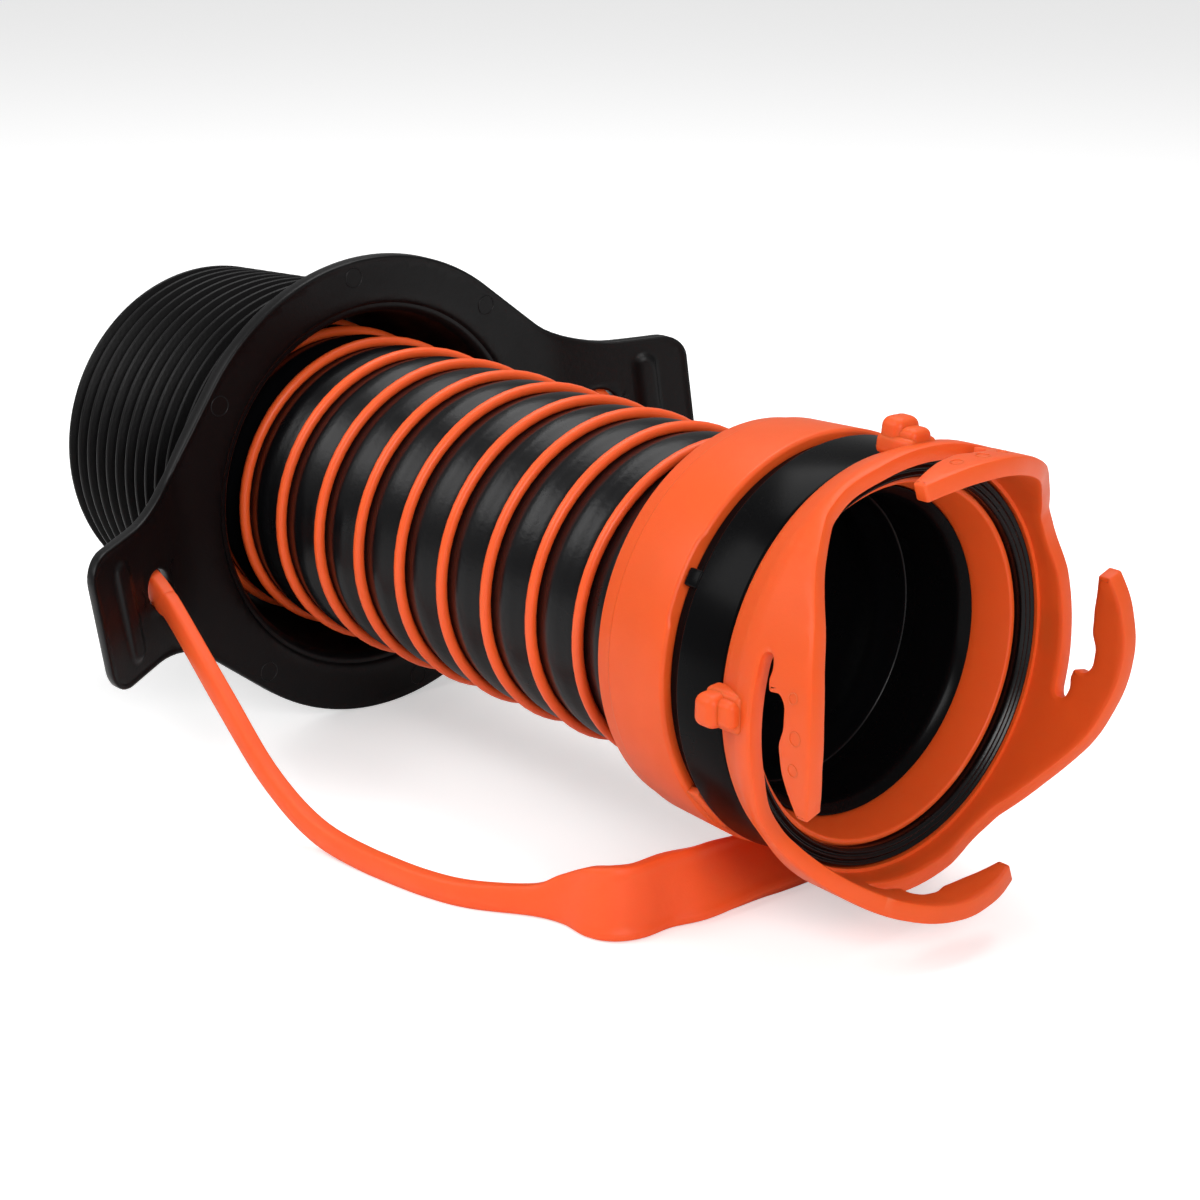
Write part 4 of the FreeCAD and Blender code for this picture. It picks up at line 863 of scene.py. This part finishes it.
def flange_sheet(bm, bend, reach):
    """Flange and both ears as one sheet, cut flat as a quarter and turned over for the rest."""
    eye = FLANGE_RADIUS + EYE_OUT * math.cos(bend)
    mouth_low, edge_low, eye_low = (
        math.asin(SEAM_DROP / radius) for radius in (MOUTH_RADIUS, FLANGE_RADIUS, EYE_RADIUS))
    corners = arc_corners(bm, 0, MOUTH_RADIUS, MOUTH_RADIUS, QUARTER + mouth_low, -mouth_low, 40)
    corners += arc_corners(bm, eye, EYE_RADIUS * math.cos(bend), EYE_RADIUS, math.pi + eye_low, -eye_low, 30)
    corners += [(bm.verts.new((x, y, 0)), rounding) for x, y, rounding in (
        (reach, -SEAM_DROP, 0), (reach, EAR_HALF, 7.5), (EAR_NECK, EAR_HALF, 12.5))]
    corners += arc_corners(bm, 0, FLANGE_RADIUS, FLANGE_RADIUS, EAR_ROOT, QUARTER + edge_low, 30)
    face = round_outline(bm, corners, 8)
    depth = inset_rim(bm, face, FLANGE_RIM)
    slices = bmesh.ops.triangulate(bm, faces=[face], quad_method="BEAUTY", ngon_method="BEAUTY")
    for edge in slices["edges"]:
        edge.seam = True
    trim(bm, 0, 0, True)
    trim(bm, 0, 1, True)
    ridge = FLANGE_RADIUS + RIDGE_OUT * math.cos(bend)
    rows = [step * ROW_PITCH for step in range(1, 43)] + [ridge + step * 0.7 for step in range(-7, 8)]
    cut_rows(bm, sorted(rows), 0)
    cut_rows(bm, [step * ROW_PITCH for step in range(1, 28)] + RIDGE_ROWS, 1)
    slanted = [edge for edge in bm.edges if edge.seam and all(
        abs(edge.verts[0].co[axis] - edge.verts[1].co[axis]) > 0.0005 for axis in (0, 1))]
    bmesh.ops.dissolve_edges(bm, edges=slanted, use_verts=True)
    under = double_sheet(bm, ((0, 0), (1, 0)))
    for vert in bm.verts:
        out, up, low = vert.co.x, vert.co.y, depth - vert.co.z
        front = sheet_front(out, bend)
        if vert in under:
            thick = 4.0 - soft_step(58, 70, out)
            slope = math.tan(bend) * soft_step(FLANGE_RADIUS - BLEND, FLANGE_RADIUS + BLEND, out)
            x = front - thick * math.hypot(1, slope) + low
        else:
            past = math.hypot((out - ridge) / math.cos(bend), max(0, up - RIDGE_HALF + 3.6))
            x = front - low + RIDGE_RISE * soft_step(4.2, 1.8, past)
            inwards = (MOUTH_RADIUS + MOUTH_ROUND - math.hypot(out, up)) / MOUTH_ROUND
            if inwards > 0:
                x = FLANGE_FRONT - 2.5 * (1 - math.sqrt(max(0, 1 - inwards ** 2)))
        vert.co = (x, out, up)
    mirror_copy(bm, 1)
    mirror_copy(bm, 2)
    facing = Matrix.Rotation(QUARTER, 3, "Y")
    for out, up in FLANGE_MARKS:
        mark = raised_ring(bm, 2.8, MARK_SECTION)
        bmesh.ops.rotate(bm, verts=mark, cent=(0, 0, 0), matrix=facing)
        bmesh.ops.translate(bm, verts=mark, vec=(FLANGE_FRONT - 0.02, out, up))
    for vert in bm.verts:
        vert.co.z -= EAR_DROOP * soft_step(FLANGE_RADIUS + 2, reach, vert.co.y)
    bmesh.ops.rotate(bm, verts=list(bm.verts), cent=(0, 0, 0), matrix=Matrix.Rotation(EAR_TILT, 3, "X"))


class HOSEKIT_OT_seal(bpy.types.Operator):
    """Builds the rubber seal with its finned bell, flange and ears"""

    bl_idname = "hose_kit.seal"
    bl_label = "Build Seal"

    def execute(self, context):
        sizes = context.scene.hose_kit_sizes
        bend = sizes.ear_bend
        bm = bmesh.new()
        flange_sheet(bm, bend, FLANGE_RADIUS + EAR_REACH * math.cos(bend))
        turn_outline(bm, bell_profile(sizes.fin_rise / MM), steps=160, segments=2)
        finish_piece(bm, "seal_body", "seal", kit_finish("satin_rubber"), crease=40)
        return {"FINISHED"}


# Strap handle

GRIP_FRONT = -37.2
STRAP_WIDTH = 6.4
STRAP_THICK = 4.6
STRAP_DIP = math.radians(30)
GRIP_WIDTH = 18.6
GRIP_MIDDLE = 17.4
GRIP_THICK = 4.5
SQUARENESS = 0.28
FIELD_DEPTH = 0.5
NECK_SIZE = (7.6, 4.8)
NECK_LIFT = 0.4
NECK_SINK = -1.5
BAR_BACK = 8
BAR_RADIUS = 2.8
BAR_LENGTH = 17.4
# Share of the way to the grip, share of the way down, distance inwards and width
ARM_PLACES = (
    (0.20, 0.48, 0.0, 6.8), (0.32, 0.77, 0.0, 6.2), (0.44, 0.95, 1.0, 6.4), (0.57, 1.00, 3.0, 6.4),
    (0.68, 1.00, 5.2, 6.4), (0.765, 1.00, 9.4, 6.8),
)
# Distance behind the grip's front, distance out, and share, from -1 on the arm to 0 at the grip and 1 mid-grip
GRIP_PLACES = (
    (24.8, 62.8, -0.87), (16.4, 59.7, -0.49), (7.0, 59.2, -0.1), (1.5, 56.7, 0.0), (-1.2, 51.0, 0.0),
    (-1.2, 42.0, 0.0), (-2.6, 33.0, 0.26), (-1.5, 24.0, 0.58), (0.2, 13.0, 0.92), (0.0, 4.5, 1.0),
)


def strap_route(bend):
    """Both halves of the strap as (hole, direction ahead, turn of the ear, stations).

    A station is (middle, width, thickness, lean, grip share).
    """
    ahead = Vector((math.cos(STRAP_DIP), 0, -math.sin(STRAP_DIP)))
    low = FLOOR + STRAP_WIDTH / 2
    halves = []
    for side in (-1, 1):
        far = FLANGE_RADIUS + EYE_OUT * math.cos(bend) - NECK_SINK * math.sin(bend)
        x = FLANGE_FRONT + EYE_OUT * math.sin(bend) + NECK_SINK * math.cos(bend)
        turn = Matrix.Rotation(EAR_TILT + (math.pi if side < 0 else 0), 3, "X")
        hole = turn @ Vector((x, far, side * NECK_LIFT))
        reach, arm = GRIP_FRONT - hole.x, abs(hole.y)
        stations = [(hole - ahead * BAR_BACK, 5.6, 4.0, 0, 0), (hole, *NECK_SIZE, 0, 0),
                    (hole + ahead * 6, *NECK_SIZE, 0, 0), (hole + ahead * 12, 6.6, STRAP_THICK, 0, 0)]
        for share, down, inwards, width in ARM_PLACES:
            height = hole.z + down * (low - hole.z) + max(0, width - STRAP_WIDTH) / 2
            place = Vector((hole.x + share * reach, side * (arm - inwards), height))
            stations.append((place, width, STRAP_THICK, 0, 0))
        for back, out, share in GRIP_PLACES:
            inner, outer = max(share, 0), min(share, 0)
            width = GRIP_WIDTH + inner * (GRIP_MIDDLE - GRIP_WIDTH) + outer * 12.2
            place = Vector((GRIP_FRONT - back, side * out, FLOOR + width / 2))
            stations.append((place, width, GRIP_THICK, 8 + inner * 45, 1 + outer * 2.4))
        halves.append((hole, ahead, turn, stations))
    return halves


def smooth_value(values, place):
    """Value on a smooth curve through evenly numbered values."""
    index = min(int(place), len(values) - 2)
    share = place - index
    before = values[max(index - 1, 0)]
    start, end = values[index], values[index + 1]
    after = values[min(index + 2, len(values) - 1)]
    return 0.5 * (2 * start + (end - before) * share + (2 * before - 5 * start + 4 * end - after) * share ** 2
                  + (3 * start - before - 3 * end + after) * share ** 3)


def strap_outline(width, thick, grip, ridge, count):
    """Section across the strap as (outwards, up): a ridged band that widens into a bordered grip."""
    places = []
    for step in range(count):
        angle = FULL * step / count
        across, up = math.cos(angle), math.sin(angle)
        side = math.copysign(abs(across) ** SQUARENESS, across) * thick / 2
        height = math.copysign(abs(up) ** SQUARENESS, up) * width / 2
        share = abs(height) / (width / 2)
        if across > 0:
            side -= FIELD_DEPTH * grip * soft_step(0.80, 0.70, share)
            side -= ridge * share ** 1.5 * (1 - grip)
        places.append((side, height))
    return places


class HOSEKIT_OT_strap(bpy.types.Operator):
    """Builds the strap handle with its arms, grip and cross bars"""

    bl_idname = "hose_kit.strap"
    bl_label = "Build Strap Handle"

    def execute(self, context):
        sizes = context.scene.hose_kit_sizes
        halves = strap_route(sizes.ear_bend)
        stations = halves[0][3] + halves[1][3][::-1]
        columns = [[station[part] for station in stations] for part in range(5)]
        rows, count = 300, 48
        bm = bmesh.new()
        bmesh.ops.create_grid(bm, x_segments=rows, y_segments=count, size=1)
        last = len(stations) - 1
        outlines = []
        for row in range(rows + 1):
            place = last * row / rows
            middle, width, thick, lean, grip = (smooth_value(column, place) for column in columns)
            ahead = (smooth_value(columns[0], min(last, place + 0.01))
                     - smooth_value(columns[0], max(0, place - 0.01)))
            ahead.normalize()
            side = ahead.cross(Vector((0, 0, 1))).normalized()
            up = side.cross(ahead).normalized()
            turn = Matrix.Rotation(math.radians(-lean), 3, ahead)
            side, up = turn @ side, turn @ up
            section = strap_outline(width, thick, max(0, min(1, grip)), sizes.strap_ridge / MM, count)
            ring = [middle + side * across + up * height for across, height in section]
            settle = FLOOR + 0.02 - min(spot.z for spot in ring)
            if lean > 0.5 or settle > 0:
                ring = [spot + Vector((0, 0, settle)) for spot in ring]
            outlines.append(ring)
        for vert in bm.verts:
            row = round((vert.co.x + 1) / 2 * rows)
            column = round((vert.co.y + 1) / 2 * count) % count
            vert.co = outlines[row][column]
        bmesh.ops.remove_doubles(bm, verts=bm.verts, dist=0.0005)
        bmesh.ops.holes_fill(bm, edges=[edge for edge in bm.edges if edge.is_boundary], sides=count + 2)
        for hole, ahead, turn, _ in halves:
            outward = turn @ Vector((math.sin(sizes.ear_bend), math.cos(sizes.ear_bend), 0))
            before = set(bm.verts)
            bmesh.ops.create_cone(bm, cap_ends=True, segments=32, radius1=BAR_RADIUS, radius2=BAR_RADIUS,
                                  depth=BAR_LENGTH)
            bar = [vert for vert in bm.verts if vert not in before]
            rims = [edge for edge in bm.edges if all(vert in bar for vert in edge.verts)
                    and abs(edge.verts[0].co.z - edge.verts[1].co.z) < CLOSE]
            soften(bm, rims, 0.9, 4)
            bar = [vert for vert in bm.verts if vert not in before]
            spin = outward.to_track_quat("Z", "Y").to_matrix()
            bmesh.ops.rotate(bm, verts=bar, cent=(0, 0, 0), matrix=spin)
            bmesh.ops.translate(bm, verts=bar, vec=hole - ahead * BAR_BACK)
        finish_piece(bm, "strap_handle", "handle", kit_finish("strap_plastic"), crease=50)
        return {"FINISHED"}


class HOSEKIT_OT_inner(bpy.types.Operator):
    """Gives the wire, the end gasket and the swivel's rings their finishes"""

    bl_idname = "hose_kit.inner"
    bl_label = "Finish Inner Rings"

    def execute(self, context):
        for node, finish in (("hose_wire", "drawn_steel"), ("snap_ring", "drawn_steel"),
                             ("hose_end_gasket", "glossy_rubber"), ("swivel_oring", "glossy_rubber")):
            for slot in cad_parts[node].material_slots:
                slot.material = kit_finish(finish)
        return {"FINISHED"}


# Stage

CAMERA_PLACE = (0.4313, -0.4684, 0.2258)
CAMERA_AZIMUTH = math.radians(49.07)
CAMERA_ELEVATION = math.radians(18.29)
FLOOR_HALF = 6
FLOOR_GLOW = 0.45
SKY_LIGHT = 0.32
LIT_MIDDLE = (-0.12, 0, 0)
LIGHTS = (
    ("overhead_light", (-0.25, 0.25, 1.0), (0.9, 0.7), 7.0),
    ("key_light", (-0.5, -1.0, 0.9), (0.9, 0.7), 7.6),
    ("front_light", (0.9, -0.5, 0.5), (0.35, 0.5), 6.2),
)


def pale_floor(scene):
    bm = bmesh.new()
    bmesh.ops.create_grid(bm, x_segments=1, y_segments=1, size=FLOOR_HALF)
    bmesh.ops.translate(bm, verts=bm.verts, vec=(0, 0, FLOOR * MM))
    mesh = bpy.data.meshes.new("studio_floor")
    bm.to_mesh(mesh)
    bm.free()
    paper = bpy.data.materials.new("white_paper")
    paper.use_nodes = True
    tree = paper.node_tree
    shader = tree.nodes["Principled BSDF"]
    set_inputs(shader, {"Base Color": (0.93, 0.93, 0.93, 1), "Roughness": 0.9, "Specular IOR Level": 0.1,
                        "Emission Color": (1, 1, 1, 1)})
    path = tree.nodes.new("ShaderNodeLightPath")
    glow = add_math(tree, "MULTIPLY", path.outputs["Is Camera Ray"], FLOOR_GLOW)
    tree.links.new(glow, shader.inputs["Emission Strength"])
    mesh.materials.append(paper)
    floor = bpy.data.objects.new("studio_floor", mesh)
    scene.collection.objects.link(floor)


def soft_world(scene):
    world = bpy.data.worlds.new("soft_studio")
    scene.world = world
    world.use_nodes = True
    tree = world.node_tree
    path = tree.nodes.new("ShaderNodeLightPath")
    level = add_range(tree, path.outputs["Is Camera Ray"], 0.0, 1.0, SKY_LIGHT, 1.0)
    tree.links.new(level, tree.nodes["Background"].inputs["Strength"])
    tree.nodes["Background"].inputs["Color"].default_value = (1, 1, 1, 1)


def soft_light(scene, name, place, size, power):
    light = bpy.data.lights.new(name, "AREA")
    light.shape = "RECTANGLE"
    light.size, light.size_y = size
    light.energy = power
    lamp = bpy.data.objects.new(name, light)
    lamp.location = place
    lamp.rotation_euler = (Vector(LIT_MIDDLE) - Vector(place)).to_track_quat("-Z", "Y").to_euler()
    scene.collection.objects.link(lamp)


class HOSEKIT_OT_stage(bpy.types.Operator):
    """Sets up the pale floor, the soft lights and the camera"""

    bl_idname = "hose_kit.stage"
    bl_label = "Set Stage"

    def execute(self, context):
        scene = context.scene
        pale_floor(scene)
        soft_world(scene)
        for name, place, size, power in LIGHTS:
            soft_light(scene, name, place, size, power)
        camera = bpy.data.cameras.new("photo_camera")
        camera.sensor_width = 36
        camera.lens = 84
        camera.clip_start = 0.01
        eye = bpy.data.objects.new("photo_camera", camera)
        eye.location = CAMERA_PLACE
        eye.rotation_euler = (QUARTER - CAMERA_ELEVATION, 0, CAMERA_AZIMUTH)
        scene.collection.objects.link(eye)
        scene.camera = eye
        scene.view_settings.view_transform = "Standard"
        return {"FINISHED"}


class HOSEKIT_PT_panel(bpy.types.Panel):
    bl_idname = "HOSEKIT_PT_panel"
    bl_label = "Sewer Hose Kit"
    bl_space_type = "VIEW_3D"
    bl_region_type = "UI"
    bl_category = "Hose Kit"

    def draw(self, context):
        for builder in BUILDERS:
            self.layout.operator(builder.bl_idname)
        for group in (context.scene.hose_kit_sizes, context.scene.hose_kit_colours):
            box = self.layout.box()
            for name in group.__annotations__:
                box.prop(group, name)


BUILDERS = (
    HOSEKIT_OT_stage, HOSEKIT_OT_hose, HOSEKIT_OT_adapter, HOSEKIT_OT_collar, HOSEKIT_OT_ring,
    HOSEKIT_OT_gasket, HOSEKIT_OT_seal, HOSEKIT_OT_strap, HOSEKIT_OT_inner,
)
CLASSES = (HoseKitSizes, HoseKitColours) + BUILDERS + (HOSEKIT_PT_panel,)


def register():
    for entry in CLASSES:
        bpy.utils.register_class(entry)
    bpy.types.Scene.hose_kit_sizes = bpy.props.PointerProperty(type=HoseKitSizes)
    bpy.types.Scene.hose_kit_colours = bpy.props.PointerProperty(type=HoseKitColours)


def unregister():
    del bpy.types.Scene.hose_kit_colours
    del bpy.types.Scene.hose_kit_sizes
    for entry in reversed(CLASSES):
        bpy.utils.unregister_class(entry)


def main():
    """Builds the whole kit."""
    register()
    for builder in BUILDERS:
        getattr(bpy.ops.hose_kit, builder.bl_idname.split(".")[1])()


if __name__ == "__main__":
    main()
